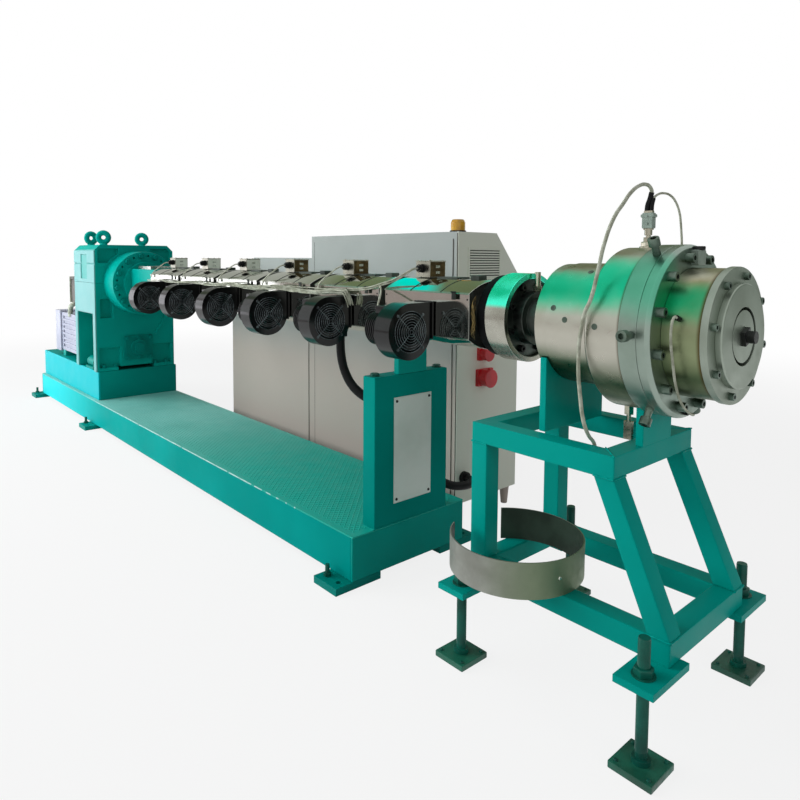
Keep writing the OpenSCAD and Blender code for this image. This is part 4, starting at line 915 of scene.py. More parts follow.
pump = high("oil_pump")
PIPE_WAY = [(-0.07, -0.04, -0.03), (-0.07, -0.04, 0.06), (-0.06, -0.035, 0.16), (-0.05, -0.02, 0.24)]
pipe = tube("oil_pipe", [at(*(pump + Vector(p))) for p in PIPE_WAY], 0.016)
settle(pipe, "oil_pipe", CABLE_PALE, "bright_steel")
box_low, box_high = low("motor_terminal_box"), high("motor_terminal_box")
ELBOW_WAY = [(0.06, 0.02, 0.092), (0.05, -0.004, 0.070), (0.03, -0.008, 0.030), (0.02, -0.004, -0.02)]
rim = slab((box_low.x - 0.004, box_low.x + 0.003), (box_low.y - 0.002, box_high.y + 0.002),
           (box_low.z + 0.100, box_high.z + 0.002), 0.002)
elbow = as_mesh(tube("elbow", [at(*(box_low + Vector(p))) for p in ELBOW_WAY], 0.040))
settle(joined([rim, elbow]), "terminal_box_trim", CABLE_PALE, "motor_dark")
print("gearbox fittings done")

# %% [markdown]
# The barrel carries six heating zones. Cast heaters clamp round it, and each zone has a cover of polished
# stainless sheet: an arched top with a turned lip, flat side panels set in a little, and the same arch
# below. The arch is a slice of a wide open cylinder; its lower edges are extruded down and out for the
# lip, and the sheet is given its thickness last.

# %% Barrel, heaters and zone covers
for node, width, paint in (("barrel", 0.002, BRIGHT_STEEL), ("cast_heaters", 0.002, ALUMINIUM)):
    softened(node, width, paint)

ZONES = 6
COVER_L = 0.450
COVER_HALF = 0.160
SIDE_HALF = 0.0815
CROWN = 0.127
SHEET = 0.002
LIP_DROP = 0.002
LIP_OUT = 0.006
EDGE_GAP = 0.0005
RISE = CROWN - SIDE_HALF
ARCH_R = (COVER_HALF ** 2 + RISE ** 2) / (2 * RISE)
ZONE_0 = low("zone_covers").x
PITCH = (high("zone_covers").x - COVER_L - ZONE_0) / (ZONES - 1)


def arch(start, length, lift, lip, thickness):
    sheet = keep_place(fresh("cylinder", vertices=180, radius=ARCH_R + lift, depth=length,
                             end_fill_type="NOTHING", rotation=(0, math.pi / 2, 0),
                             location=at(start + length / 2, 0, AXIS_Z + CROWN - ARCH_R)))
    edge_z = AXIS_Z + SIDE_HALF
    mode("EDIT")
    bpy.ops.mesh.select_all(action="SELECT")
    bpy.ops.mesh.bisect(plane_co=(0, 0, edge_z), plane_no=(0, 0, 1), clear_inner=True)
    mode("OBJECT")
    if lip:
        for step in ((0, 0, -LIP_DROP), (0, LIP_OUT, 0)):
            for side in (-1, 1):
                lowest = min(v.co.z for v in sheet.data.vertices) if step[2] == 0 else edge_z
                pick(sheet, "vertices",
                     lambda v: abs(v.co.z - lowest) < EDGE_GAP and side * (v.co.y - AXIS_Y) > 0)
                bpy.ops.mesh.select_mode(type="EDGE")
                bpy.ops.mesh.extrude_region_move(
                    TRANSFORM_OT_translate={"value": (step[0], side * step[1], step[2])})
                mode("OBJECT")
    return shape(sheet, "SOLIDIFY", thickness=thickness, offset=-1.0)


def zone_slab(xs, ys, zs, edge, segments=2):
    return slab([ZONE_0 + x for x in xs], sorted(ys), [AXIS_Z + z for z in zs], edge, segments)


def per_zone(obj, name, paint, slot, smooth=35, replaces=()):
    for i in range(ZONES):
        twin = copy_of(obj, Matrix.Translation((i * PITCH, 0, 0)))
        settle(twin, f"zone_{i + 1}_{name}", paint, slot, smooth, replaces)
    drop(obj)


top = arch(ZONE_0, COVER_L, 0.0, True, SHEET)
soft_edges(top, 0.0006, 1, 60)
half_turn = (Matrix.Translation(at(0, 0, AXIS_Z)) @ Matrix.Rotation(math.pi, 4, "X")
             @ Matrix.Translation(-at(0, 0, AXIS_Z)))
bottom = copy_of(top, half_turn)
per_zone(top, "cover_top", STAINLESS, "stainless", 40, ["zone_covers"])
per_zone(bottom, "cover_bottom", STAINLESS, "stainless", 40)
print("cover sheet ready, arch radius", round(ARCH_R, 3))

# %% [markdown]
# The side panels are flat mirrors, held by small dome rivets at their corners. A dark strap crosses each
# arch where its two sheets lap, over-centre clasps hold the halves together, and a flat terminal plate lies
# on the crown beside the junction box.

# %% Side panels, straps and clasps
PANEL_IN = 0.0015
panels, rivets = [], []
for side in (-1, 1):
    face = side * (COVER_HALF - PANEL_IN)
    panels.append(zone_slab((0.001, COVER_L - 0.001), (face, face - side * SHEET),
                            (-SIDE_HALF - 0.002, SIDE_HALF + 0.002), 0.0005, 1))
    for x in (0.010, COVER_L - 0.010):
        for z in (-SIDE_HALF + 0.022, SIDE_HALF - 0.022):
            place = at(ZONE_0 + x, face, AXIS_Z + z)
            tip = place + Vector((0, side * 0.002, 0))
            rivets.append(pole(place, tip, 0.004, 0.002, sides=12, edge=0.0006))
per_zone(joined(panels), "cover_sides", STAINLESS, "stainless")
per_zone(joined(rivets), "cover_rivets", DARK_BOLT, "stainless")

strap = joined([arch(ZONE_0 + 0.150, 0.004, 0.0012, False, 0.0014),
                arch(ZONE_0 + 0.310, 0.003, 0.0010, False, 0.0012)])
per_zone(strap, "cover_straps", DARK_BOLT, "stainless")
plates = [zone_slab((0.165, 0.275), (-0.034, 0.034), (CROWN - 0.003, CROWN + 0.004), 0.0012),
          zone_slab((0.330, 0.372), (-0.022, 0.022), (CROWN - 0.002, CROWN + 0.012), 0.002)]
per_zone(joined(plates), "terminal_plates", DARK_FACE, "stainless")
CLASP_X, CLASP_HALF, PIN_HALF = 0.385, 0.009, 0.012
clasps = []
for side in (-1, 1):
    y = side * (COVER_HALF + LIP_OUT)
    clasps.append(zone_slab((CLASP_X - CLASP_HALF, CLASP_X + CLASP_HALF), (y, y + side * 0.006),
                            (SIDE_HALF - 0.024, SIDE_HALF + 0.002), 0.0018))
    pin = at(ZONE_0 + CLASP_X, y + side * 0.005, AXIS_Z + SIDE_HALF + 0.003)
    reach = Vector((PIN_HALF, 0, 0))
    clasps.append(pole(pin - reach, pin + reach, 0.003, sides=12, edge=0.0008))
per_zone(joined(clasps), "cover_clasps", DARK_FACE, "stainless")
print("covers dressed")

# %% [markdown]
# Each junction box is a small folded box with two vent slots, a lid on four screws and a ridged black gland
# on the near side. The box keeps its CAD form; lid, screws and gland rings are added on it.

# %% Junction boxes
BOX_X, BOX_L, BOX_W, BOX_H = 0.055, 0.080, 0.086, 0.064
BOX_TOP, BOX_END, BOX_SIDE = CROWN + BOX_H, BOX_X + BOX_L, BOX_W / 2
softened("junction_boxes", 0.0015, BOX_STEEL)
lid = zone_slab((BOX_X - 0.002, BOX_END + 0.002), (-BOX_SIDE - 0.002, BOX_SIDE + 0.002),
                (BOX_TOP - 0.002, BOX_TOP + 0.002), 0.001)
screws = [pole(at(ZONE_0 + x, y, AXIS_Z + BOX_TOP + 0.0015), at(ZONE_0 + x, y, AXIS_Z + BOX_TOP + 0.0045),
               0.004, 0.003, sides=14, edge=0.0006)
          for x in (BOX_X + 0.008, BOX_END - 0.008) for y in (-BOX_SIDE + 0.008, BOX_SIDE - 0.008)]
per_zone(joined([lid] + screws), "box_lid", BOX_STEEL, "stainless")
plate = zone_slab((BOX_END - 0.001, BOX_END + 0.0008), (-BOX_SIDE + 0.003, BOX_SIDE - 0.003),
                  (CROWN + 0.003, BOX_TOP - 0.003), 0.0004, 1)
per_zone(plate, "box_end_plate", BOX_BROWN, "stainless")
slots = [zone_slab((BOX_END, BOX_END + 0.002), (-0.011, 0.011),
                   (BOX_TOP - BOX_H * f - 0.005, BOX_TOP - BOX_H * f + 0.005), 0.0008) for f in (0.34, 0.70)]
per_zone(joined(slots), "box_slots", PALE_BOLT, "stainless")
gland_z = AXIS_Z + CROWN + BOX_H * 0.55
gland_x = ZONE_0 + BOX_X + BOX_L / 2
GLAND_STEPS = ((-0.001, 0.008, 0.0175, 6), (0.008, 0.012, 0.0135, 24), (0.012, 0.024, 0.0158, 12),
               (0.024, 0.030, 0.0105, 24))
ridges = [pole(at(gland_x, -BOX_SIDE - a, gland_z), at(gland_x, -BOX_SIDE - b, gland_z), r, sides=s,
               edge=0.0008) for a, b, r, s in GLAND_STEPS]
per_zone(joined(ridges), "box_gland", CABLE_BLACK, "cable_black")
print("junction boxes done")

# %% [markdown]
# A blower cools each zone. Its housing is a cast scroll: a drum with a square outlet that runs into the
# cover. The drum and the outlet are joined by a boolean, the inlet is cut out, and the edges are rounded.
# A thin flange closes the outlet against the cover.

# %% Blower housing
SCROLL_R, SCROLL_W, INLET_R, INLET_D = 0.102, 0.082, 0.072, 0.060
BLOWER_X = ZONE_0 + 0.190
BLOWER_Y = -COVER_HALF - 0.110
BLOWER_Z = AXIS_Z - 0.060
OUTLET_H = 0.126


def blower_at(x, y=0.0, z=0.0):
    return at(BLOWER_X + x, BLOWER_Y + y, BLOWER_Z + z)


def blower_drum(x0, x1, radius, end_radius=None, sides=56, edge=0.0):
    return pole(blower_at(x0), blower_at(x1), radius, end_radius, sides, edge)


scroll = blower_drum(0, SCROLL_W, SCROLL_R, sides=96)
duct = cube(blower_at(0, 0, SCROLL_R - OUTLET_H), blower_at(SCROLL_W, 0.115, SCROLL_R))
cut(scroll, duct, "UNION")
cut(scroll, blower_drum(SCROLL_W - INLET_D, SCROLL_W + 0.01, INLET_R, sides=72))
soft_edges(scroll, 0.007, 4, 50)
outlet_flange = cube(blower_at(-0.008, 0.100, SCROLL_R - OUTLET_H - 0.008),
                     blower_at(SCROLL_W + 0.008, 0.106, SCROLL_R + 0.0035), 0.0015)
per_zone(joined([scroll, outlet_flange]), "blower_housing", BLACK, "black_paint", 40, ["blower_housings"])
print("blower housings done")

# %% [markdown]
# Behind the inlet sits a squirrel-cage wheel: a back disc, a hub and thirty leaning blades under a front
# ring. One blade is a thin plate, leaned and copied round the hub.

# %% Blower wheel
WHEEL_R = 0.066
BLADES = 30
blade = cube((-0.006, -0.0006, 0.004), (0.006, 0.0006, 0.050), 0.0003, 1)
wheel_x = SCROLL_W - 0.058
lean = Matrix.Translation((WHEEL_R - 0.012, 0, 0)) @ Matrix.Rotation(math.radians(38), 4, "Z")
wheel = spread(blade, [put(blower_at(wheel_x), spin=360 * k / BLADES) @ lean for k in range(BLADES)])
wheel.append(blower_drum(wheel_x, wheel_x + 0.004, WHEEL_R, sides=48))
wheel.append(blower_drum(wheel_x, SCROLL_W - 0.030, 0.030, 0.016, 32, 0.002))
front_ring = blower_drum(wheel_x + 0.049, wheel_x + 0.053, WHEEL_R, sides=48)
wheel.append(cut(front_ring, blower_drum(wheel_x, wheel_x + 0.1, WHEEL_R - 0.018, sides=48)))
per_zone(joined(wheel), "blower_wheel", BLACK, "black_paint")
print("wheel blades:", BLADES)

# %% [markdown]
# The grille is welded wire: eight rings of round wire on crossed legs, bulging a little, with four eyes
# screwed to the housing. A torus gives each ring, and the legs are curves bent over the rings.

# %% Blower grille
RINGS = 8
WIRE_R = 0.0013
GRILLE_R = 0.076
face_x = SCROLL_W + 0.0012
grille = []
for k in range(RINGS):
    radius = GRILLE_R * (k + 1) / RINGS - 0.002
    bulge = 0.005 * (1 - (radius / GRILLE_R) ** 2)
    grille.append(torus(blower_at(face_x + bulge), radius, WIRE_R, 56, 8))
LEGS = 4
EYE_OUT = GRILLE_R + 0.008
heads = []
for k in range(LEGS):
    angle = math.radians(45 + 90 * k)
    radial = Vector((0, math.cos(angle), math.sin(angle)))
    knots = [blower_at(face_x + 0.0042 - 0.005 * t * t) + radial * (0.010 + t * (GRILLE_R - 0.002))
             for t in (0, 0.35, 0.7, 1.0)]
    grille.append(as_mesh(tube("leg", knots, WIRE_R * 2.2)))
    out = radial * EYE_OUT
    grille.append(pole(blower_at(SCROLL_W - 0.001) + out, blower_at(SCROLL_W + 0.002) + out, 0.0062, sides=20,
                       edge=0.0008))
    heads.append(pole(blower_at(SCROLL_W + 0.0015) + out, blower_at(SCROLL_W + 0.0055) + out, 0.0045, 0.0032,
                      sides=16, edge=0.0006))
per_zone(joined(grille), "blower_grille", WIRE_STEEL, "black_paint", 50, ["blower_grilles"])
per_zone(joined(heads), "grille_screws", WIRE_STEEL, "dark_steel")
print("grille rings:", RINGS)

# %% [markdown]
# The blower motor is a finned drum behind the scroll. Rings on a core make the fins, a domed cap closes the
# rear, and a small terminal box sits on top with its cable nut.

# %% Blower motor
MOTOR_L, MOTOR_R = 0.118, 0.063
FINS = 9
parts = [blower_drum(-MOTOR_L + 0.010, 0.001, MOTOR_R * 0.86)]
for k in range(FINS):
    x = -MOTOR_L + 0.020 + k * (MOTOR_L - 0.030) / (FINS - 1)
    parts.append(blower_drum(x - 0.0024, x + 0.0024, MOTOR_R, edge=0.0012))
parts.append(blower_drum(-MOTOR_L + 0.012, -MOTOR_L, MOTOR_R * 0.94, MOTOR_R * 0.72, edge=0.004))
parts.append(cube(blower_at(-0.085, -0.026, MOTOR_R * 0.9), blower_at(-0.028, 0.026, MOTOR_R + 0.024), 0.004))
nut_z = MOTOR_R + 0.010
parts.append(pole(blower_at(-0.100, 0, nut_z), blower_at(-0.084, 0, nut_z), 0.009, sides=6, edge=0.001))
per_zone(joined(parts), "blower_motor", BLACK, "black_paint", 40, ["blower_motors"])
print("motor fins:", FINS)

# %% [markdown]
# Pale glass-braided wires run along the near side of the covers, lying on the blower outlets and sagging a
# little between them. Each wire is a curve whose points are shaken by a fixed random seed, so the bundle
# looks hand-laid and is the same on every run. Every zone adds its wires, so the bundle grows to the front.

# %% Wiring along the covers
random.seed(7)
BUNDLE_Z = BLOWER_Z + SCROLL_R + 0.0045
BUNDLE_Y = -COVER_HALF - 0.027
bundle_start, bundle_end = low("wiring_bundle").x, high("wiring_bundle").x
WIRES, WIRE_D, KNOT_STEP, SHAKE = 14, 0.0044, 0.036, 0.0015
ON_OUTLET = 0.17
DROOP = ((0.012, -0.001, -0.012), (0.020, 0.004, -0.034), (0.021, 0.010, -0.056))
wires = []
for k in range(WIRES):
    start = bundle_start + (k * (ZONES - 1) // WIRES) * PITCH
    aside, lift = random.uniform(-0.014, 0.014), 0.003 + 0.022 * k / (WIRES - 1)
    depth, wave = random.uniform(0.004, 0.018), random.uniform(0, math.tau)
    knots = []
    steps = int((bundle_end - start) / KNOT_STEP)
    for n in range(steps + 1):
        x = start + (bundle_end - start) * n / steps
        phase = ((x - BLOWER_X) % PITCH) / PITCH
        hang = (phase - ON_OUTLET) / (1 - ON_OUTLET)
        sag = -depth * math.sin(math.pi * hang) if hang > 0 else 0.0
        way = wave + 0.35 * n
        knots.append(at(x, BUNDLE_Y + aside + 0.004 * math.cos(way) + random.uniform(-SHAKE, SHAKE),
                        BUNDLE_Z + lift + 0.003 * math.sin(way) + sag + random.uniform(-SHAKE, SHAKE)))
    if k % 2:
        last = knots[-1]
        knots.extend(last + Vector(v) for v in DROOP)
    wires.append(tube(f"wire_{k + 1}", knots, WIRE_D, 3))
for k, wire in enumerate(wires):
    settle(wire, f"bundle_wire_{k + 1}", CABLE_PALE, "cable_pale", replaces=["wiring_bundle"])
print("wires:", WIRES)

# %% [markdown]
# Two wires leave the gland of every zone and drop over the lip into the bundle; those of the last zone run
# back along the covers to it, because the bundle ends a zone earlier. The tails are curves through points
# measured in the picture, moved on by one zone length each.

# %% Tails from the bundle to the junction boxes
TAIL_D = 0.0062
TAIL = [(0.0, -0.030, 0.0), (-0.002, -0.044, -0.001), (-0.008, -0.058, -0.008), (-0.018, -0.072, -0.020),
        (-0.030, -0.090, -0.038), (-0.042, -0.108, -0.056), (-0.052, -0.122, -0.078),
        (-0.058, -0.126, -0.098)]
for i in range(ZONES - 1):
    start = at(gland_x + i * PITCH, -BOX_W / 2, gland_z)
    for k, (dx, dy) in enumerate(((0.0, 0.0), (0.008, -0.003))):
        knots = [start + Vector((x + dx * min(1, n / 3), y + (dy if n > 1 else 0), z))
                 for n, (x, y, z) in enumerate(TAIL)]
        tail = tube("tail", knots, TAIL_D, 4)
        settle(tail, f"zone_{i + 1}_tail_{k + 1}", CABLE_PALE, "cable_pale", replaces=["zone_cables"])
LAST_TAIL = [(0.100, -0.069, 1.262), (0.092, -0.084, 1.259), (0.078, -0.100, 1.246), (0.058, -0.118, 1.228),
             (0.034, -0.134, 1.212), (0.006, -0.148, 1.201), (-0.026, -0.160, 1.191), (-0.064, -0.173, 1.179),
             (-0.104, -0.177, 1.173), (-0.144, -0.177, 1.170), (-0.180, -0.176, 1.168),
             (-0.213, -0.176, 1.167)]
for k, lift in enumerate((0.0, 0.007)):
    knots = [at(x, y - 0.4 * lift, z + lift * min(1, n / 3)) for n, (x, y, z) in enumerate(LAST_TAIL)]
    tail = tube("tail", knots, TAIL_D, 5)
    settle(tail, f"zone_{ZONES}_tail_{k + 1}", CABLE_PALE, "cable_pale", replaces=["zone_cables"])
BLOWER_LEAD = [(-0.020, -0.163, 1.188), (0.004, -0.180, 1.182), (0.030, -0.202, 1.166),
               (0.055, -0.229, 1.145), (0.076, -0.254, 1.125), (0.093, -0.268, 1.114)]
settle(tube("lead", [at(*p) for p in BLOWER_LEAD], 0.008, 5), "blower_lead", CABLE_PALE, "cable_pale")
print("tails laid")

# %% [markdown]
# Past the last cover a few brass-coloured heater wires bow out between the cover and the black flange. They
# are curves turned into meshes and joined, because they are one small tangle.

# %% Heater wires at the flange
BOW = ((0.448, 0, -0.118, 1.170, 0.009), (0.462, 1, -0.149, 1.150, 0.010), (0.476, -1, -0.157, 1.108, 0.010),
       (0.468, 1, -0.156, 1.064, 0.004), (0.450, 0, -0.122, 1.050, 0.006))
STRANDS, STRAND_D = 6, 0.0034
parts = []
for k in range(STRANDS):
    lean = random.uniform(-0.006, 0.006)
    knots = [at(x + way * lean, y, z - drop_by * k) for x, way, y, z, drop_by in BOW]
    parts.append(as_mesh(tube("strand", knots, STRAND_D)))
settle(joined(parts), "heater_wires", BRASS_WIRE, "bright_steel")
print("heater wires:", len(parts))

# %% [markdown]
# The die head is a stack of turned steel rings, oiled against rust. The CAD rings keep their size; each gets
# a fine chamfer so that the joints show as dark lines between bright edges, and rings of lathe marks in the
# finish. The black flange, clamp ring and adapter tie it to the barrel.

# %% Turned parts of the die head
for node, width, metal in (
        ("barrel_flange", 0.003, FLANGE_BLACK), ("clamp_ring", 0.003, CLAMP_STEEL),
        ("die_adapter", 0.002, DARK_FACE), ("die_rear_disc", 0.0025, OILED_STEEL),
        ("die_rear_body", 0.002, OILED_STEEL),
        ("die_main_body", 0.003, OILED_STEEL), ("clamp_flange_rear", 0.003, FLANGE_STEEL),
        ("clamp_flange_front", 0.002, FLANGE_STEEL), ("die_holder", 0.002, HOLDER_STEEL),
        ("retaining_ring", 0.002, PLAIN_STEEL), ("die_bush", 0.0012, PLAIN_STEEL),
        ("melt_probes", 0.0012, FITTING), ("cable_glands", 0.0012, CABLE_BLACK)):
    softened(node, width, metal, 2, 40)
print("die rings softened")

# %% [markdown]
# Socket screws pull the rings together: twelve round the front flange, eight in the retaining ring and eight
# black ones in the adapter face. Each kind is cut once and copied round the axis, with a turn of its own.

# %% Die screws
FLANGE_SCREW_R, RING_SCREW_R, ADAPTER_SCREW_R = 0.213, 0.163, 0.113
ADAPTER_IN = 0.014
flange_front = high("clamp_flange_front").x
ring_front = high("retaining_ring").x
adapter_face = high("clamp_ring").x - ADAPTER_IN
for name, screw, places, spin, metal, slot in (
        ("flange_screws", (0.0135, 0.024), (12, FLANGE_SCREW_R, flange_front, 18), 23, SCREW_STEEL,
         "die_steel"),
        ("retaining_screws", (0.0105, 0.013), (8, RING_SCREW_R, ring_front, 12), 31, SCREW_STEEL,
         "die_steel"),
        ("adapter_screws", (0.012, 0.012), (8, ADAPTER_SCREW_R, adapter_face, 22.5), 13, DARK_BOLT,
         "dark_steel")):
    screws = spread(socket_screw(*screw), [put(p, spin=spin * k) for k, p in enumerate(around_x(*places))])
    settle(joined(screws), name, metal, slot)
print("face screws set")

# %% [markdown]
# The centring screws stand out from the rim of the flange on studs, and plugs close small holes in the
# bodies. Both point away from the axis, so one helper gives their places.

# %% Centring screws and plugs
def radial_screws(x, radius, count, start):
    for k, p in enumerate(around_x(count, radius, x, start)):
        yield put(p, p - at(x, 0, AXIS_Z), 19 * k)


def ring_radius(node):
    return (high(node).z - low(node).z) / 2


flange_r, body_r, main_r = (ring_radius(n) for n in ("clamp_flange_rear", "die_rear_body", "die_main_body"))
stud = joined([pole((0, 0, -0.002), (0, 0, 0.030), 0.010, sides=20),
               pole((0, 0, 0.0), (0, 0, 0.010), 0.0115, sides=6, edge=0.001)])
head = socket_screw(0.016, 0.022)
head.data.transform(Matrix.Translation((0, 0, 0.030)))
STUD_ANGLES = (-29, 88, 150, -147, -89)
STUD_X = 1.107
screws = spread(joined([stud, head]), [next(radial_screws(STUD_X, flange_r, 1, a)) for a in STUD_ANGLES])
settle(joined(screws), "flange_set_screws", SCREW_STEEL, "die_steel")
PLUG_ROWS = ((0.817, body_r, 2, -73), (0.862, body_r, 3, -83), (0.888, body_r, 2, -30),
             (0.992, main_r, 3, -86))
plugs = spread(socket_screw(0.009, 0.0012), [place for row in PLUG_ROWS for place in radial_screws(*row)])
settle(joined(plugs), "body_plugs", SCREW_STEEL, "die_steel")
print("plugs:", sum(row[2] for row in PLUG_ROWS))

# %% [markdown]
# A small block with a cap sits on top of the flange, and a dark drawbar with a square collar ends the
# mandrel. The CAD mandrel has the drawbar in one solid, so both are modelled here, each with its own metal.

# %% Flange block, mandrel and drawbar
block = slab((flange_front - 0.001, flange_front + 0.022), (-0.020, 0.030), (1.288, 1.331), 0.004)
settle(block, "flange_top_block", PLUG_GREY, "die_steel")
cap_x, cap_y = flange_front + 0.011, 0.006
cap = pole(at(cap_x, cap_y, 1.330), at(cap_x, cap_y, 1.341), 0.017, sides=24, edge=0.002)
settle(cap, "flange_top_cap", DARK_BOLT, "die_steel")
BAR_L = 0.030
core_start, bar_end = low("die_mandrel").x, high("die_mandrel").x
core_end = bar_end - BAR_L
core = pole(at(core_start, 0, AXIS_Z), at(core_end - 0.002, 0, AXIS_Z), ring_radius("die_mandrel"), sides=96,
            edge=0.0012)
settle(core, "mandrel", PLAIN_STEEL, "die_steel", 40, ["die_mandrel"])
collar = cube((-0.020, -0.020, 0), (0.020, 0.020, 0.018), 0.0015)
collar.data.transform(put(at(core_end - 0.008, 0, AXIS_Z), spin=20))
bar = pole(at(core_end - 0.004, 0, AXIS_Z), at(bar_end, 0, AXIS_Z), 0.0168, edge=0.0015)
settle(joined([collar, bar]), "drawbar", DARK_BOLT, "die_steel")
print("mandrel ends at", round(core_end, 3))

# %% [markdown]
# The melt probe on top of the die ends in a flat two-pole plug with ears, out of which its two leads rise in
# dark sleeves. A hexagon foot screws it into the body. All are boxes and drums with broken edges, because
# they are too small for more to show.

# %% Probe plug and adapter fittings
PROBE_X = 1.017
FOOT_UP = 0.237
plug_low = high("melt_probes").z - 0.056
parts = [slab((PROBE_X - dx, PROBE_X + dx), (-dy, dy), (plug_low + z0, plug_low + z1), 0.003)
         for dx, dy, z0, z1 in ((0.017, 0.011, 0.004, 0.050), (0.021, 0.012, 0.036, 0.046))]
for z in (0.018, 0.040):
    parts.append(pole(at(PROBE_X, -0.014, plug_low + z), at(PROBE_X, 0.014, plug_low + z), 0.0036, sides=16,
                      edge=0.0008))
settle(joined(parts), "probe_plug", PLUG_GREY, "bright_steel")
neck = pole(at(PROBE_X, 0, plug_low - 0.016), at(PROBE_X, 0, plug_low + 0.004), 0.011, sides=24, edge=0.001)
settle(neck, "probe_neck", FITTING, "bright_steel")
for k, (route, reach, width) in enumerate(((LEAD_NEAR_ROUTE, 4, 0.0150), (LEAD_FAR_ROUTE, 3, 0.0120))):
    sleeve = tube("sleeve", [at(*p) for p in route[:reach]], width, 5)
    settle(sleeve, f"probe_sleeve_{k + 1}", CABLE_BLACK, "cable_black")
nut = spread(hex_bolt(0.036, 0.012, 0.004), [put(at(PROBE_X, 0, AXIS_Z + FOOT_UP), (0, 0, 1), 10)])
settle(nut[0], "probe_base_nut", FITTING, "bright_steel")
print("probe dressed")

# %% [markdown]
# The support post and the die stand are welded from tube and plate. The CAD shapes keep their sizes; the tube
# has the rounded corners that rolled tube has.

# %% Post and stand
for node, width, paint in (
        ("support_post", 0.005, TEAL_POST), ("post_cover", 0.0012, COVER_GREY), ("saddles", 0.003, TEAL),
        ("stand_top_frame", 0.005, TEAL), ("stand_legs", 0.005, TEAL), ("stand_lower_rails", 0.005, TEAL),
        ("stand_brackets", 0.003, TEAL), ("stand_pads", 0.003, PAD_GREEN)):
    softened(node, width, paint)
print("post and stand softened")

# %% [markdown]
# A heater band for the die lies on the stand: a strip of steel bent to an open ring. Its inside is darker:
# the inner faces are copied, given a little thickness and a dark finish of their own. One rivet shows
# outside.

# %% Heater band
BAND_X, BAND_Y, BAND_R = 0.700, -0.190, 0.2125
RIVET_ANGLE = math.radians(-15)
band = softened("heater_band", 0.0012, BAND_STEEL)
lining = copy_of(band)
only(lining)
for face in lining.data.polygons:
    outward = (face.center - at(BAND_X, BAND_Y, face.center.z)).normalized()
    face.select = face.normal.dot(outward) > -0.9
mode("EDIT")
bpy.ops.mesh.delete(type="FACE")
mode("OBJECT")
shape(lining, "SOLIDIFY", thickness=0.0006, offset=1.0)
settle(lining, "band_lining", BAND_INSIDE, "bright_steel")
band_z = (low("heater_band").z + high("heater_band").z) / 2
rivet_way = Vector((math.cos(RIVET_ANGLE), math.sin(RIVET_ANGLE), 0))
rivet_at = at(BAND_X, BAND_Y, band_z) + rivet_way * BAND_R
rivet = pole(rivet_at, rivet_at + rivet_way * 0.003, 0.006, 0.0045, sides=18, edge=0.0006)
settle(rivet, "band_rivet", PALE_BOLT, "bright_steel")
print("band lining faces:", len(lining.data.polygons))

# %% [markdown]
# Beads of weld lie where the tubes of the stand and the post meet. A bead is a curve with a ragged row of
# points, a little thicker in places.

# %% Weld beads
random.seed(11)
BEAD_STEP, RAGGED = 0.008, 0.0008


def bead(start, end, size=0.006):
    start, end = Vector(start), Vector(end)
    count = max(4, int((end - start).length / BEAD_STEP))
    knots = [start.lerp(end, n / count) + Vector([random.uniform(-RAGGED, RAGGED) for _ in range(3)])
             for n in range(count + 1)]
    line = tube("bead", knots, size, 2)
    for knot in line.data.splines[0].bezier_points:
        knot.radius *= random.uniform(0.8, 1.2)
    return line


TUBE_W = 0.065
top_low, top_high = low("stand_top_frame"), high("stand_top_frame")
rail_low, rail_high = low("stand_lower_rails"), high("stand_lower_rails")
beads = []
for side in (top_low.y, top_high.y):
    inner = side + (TUBE_W if side < 0 else -TUBE_W)
    for rear, front, z in ((top_low.x, top_high.x, top_low.z), (rail_low.x, rail_high.x, rail_high.z)):
        for x0, x1 in ((rear, rear + TUBE_W), (front - TUBE_W, front)):
            beads.append(bead(at(x0, side, z), at(x1, side, z)))
        beads.append(bead(at(front, side, z), at(front, inner, z)))
    beads.append(bead(at(top_high.x - TUBE_W, inner, top_high.z), at(top_high.x, side, top_high.z), 0.004))
post_low, post_high = low("support_post"), high("support_post")
beads += [bead(at(post_high.x, post_low.y, post_low.z), at(post_high.x, post_high.y, post_low.z)),
          bead(at(post_low.x, post_low.y, post_low.z), at(post_high.x, post_low.y, post_low.z))]
for k, line in enumerate(beads):
    settle(line, f"weld_bead_{k + 1}", TEAL, "teal_paint")
print("weld beads:", len(beads))

# %% [markdown]
# Small hardware finishes the stand and the post: screws in the grey cover, two bolts on top of the post, four
# screws in each pad, nuts and threads on the jack screws. The thread is a stack of thin rings, which reads
# as a thread at this size.

# %% Post and stand hardware
cover_low, cover_high = low("post_cover"), high("post_cover")
spots = [(cover_high.x, y, z) for y in (cover_low.y + 0.014, cover_high.y - 0.014)
         for z in (cover_low.z + 0.016, cover_high.z - 0.016)]
heads = spread(pole((0, 0, -0.001), (0, 0, 0.004), 0.0065, 0.0045, sides=18, edge=0.0008),
               [put(at(*p)) for p in spots])
settle(joined(heads), "post_cover_screws", DARK_BOLT, "dark_steel")
bolts = spread(hex_bolt(0.032, 0.008), [put(at(-0.038, y, post_high.z), (0, 0, 1), 20)
                                        for y in (post_low.y + 0.030, post_high.y - 0.030)])
settle(joined(bolts), "post_top_bolts", JACK_GREEN, "dark_steel")

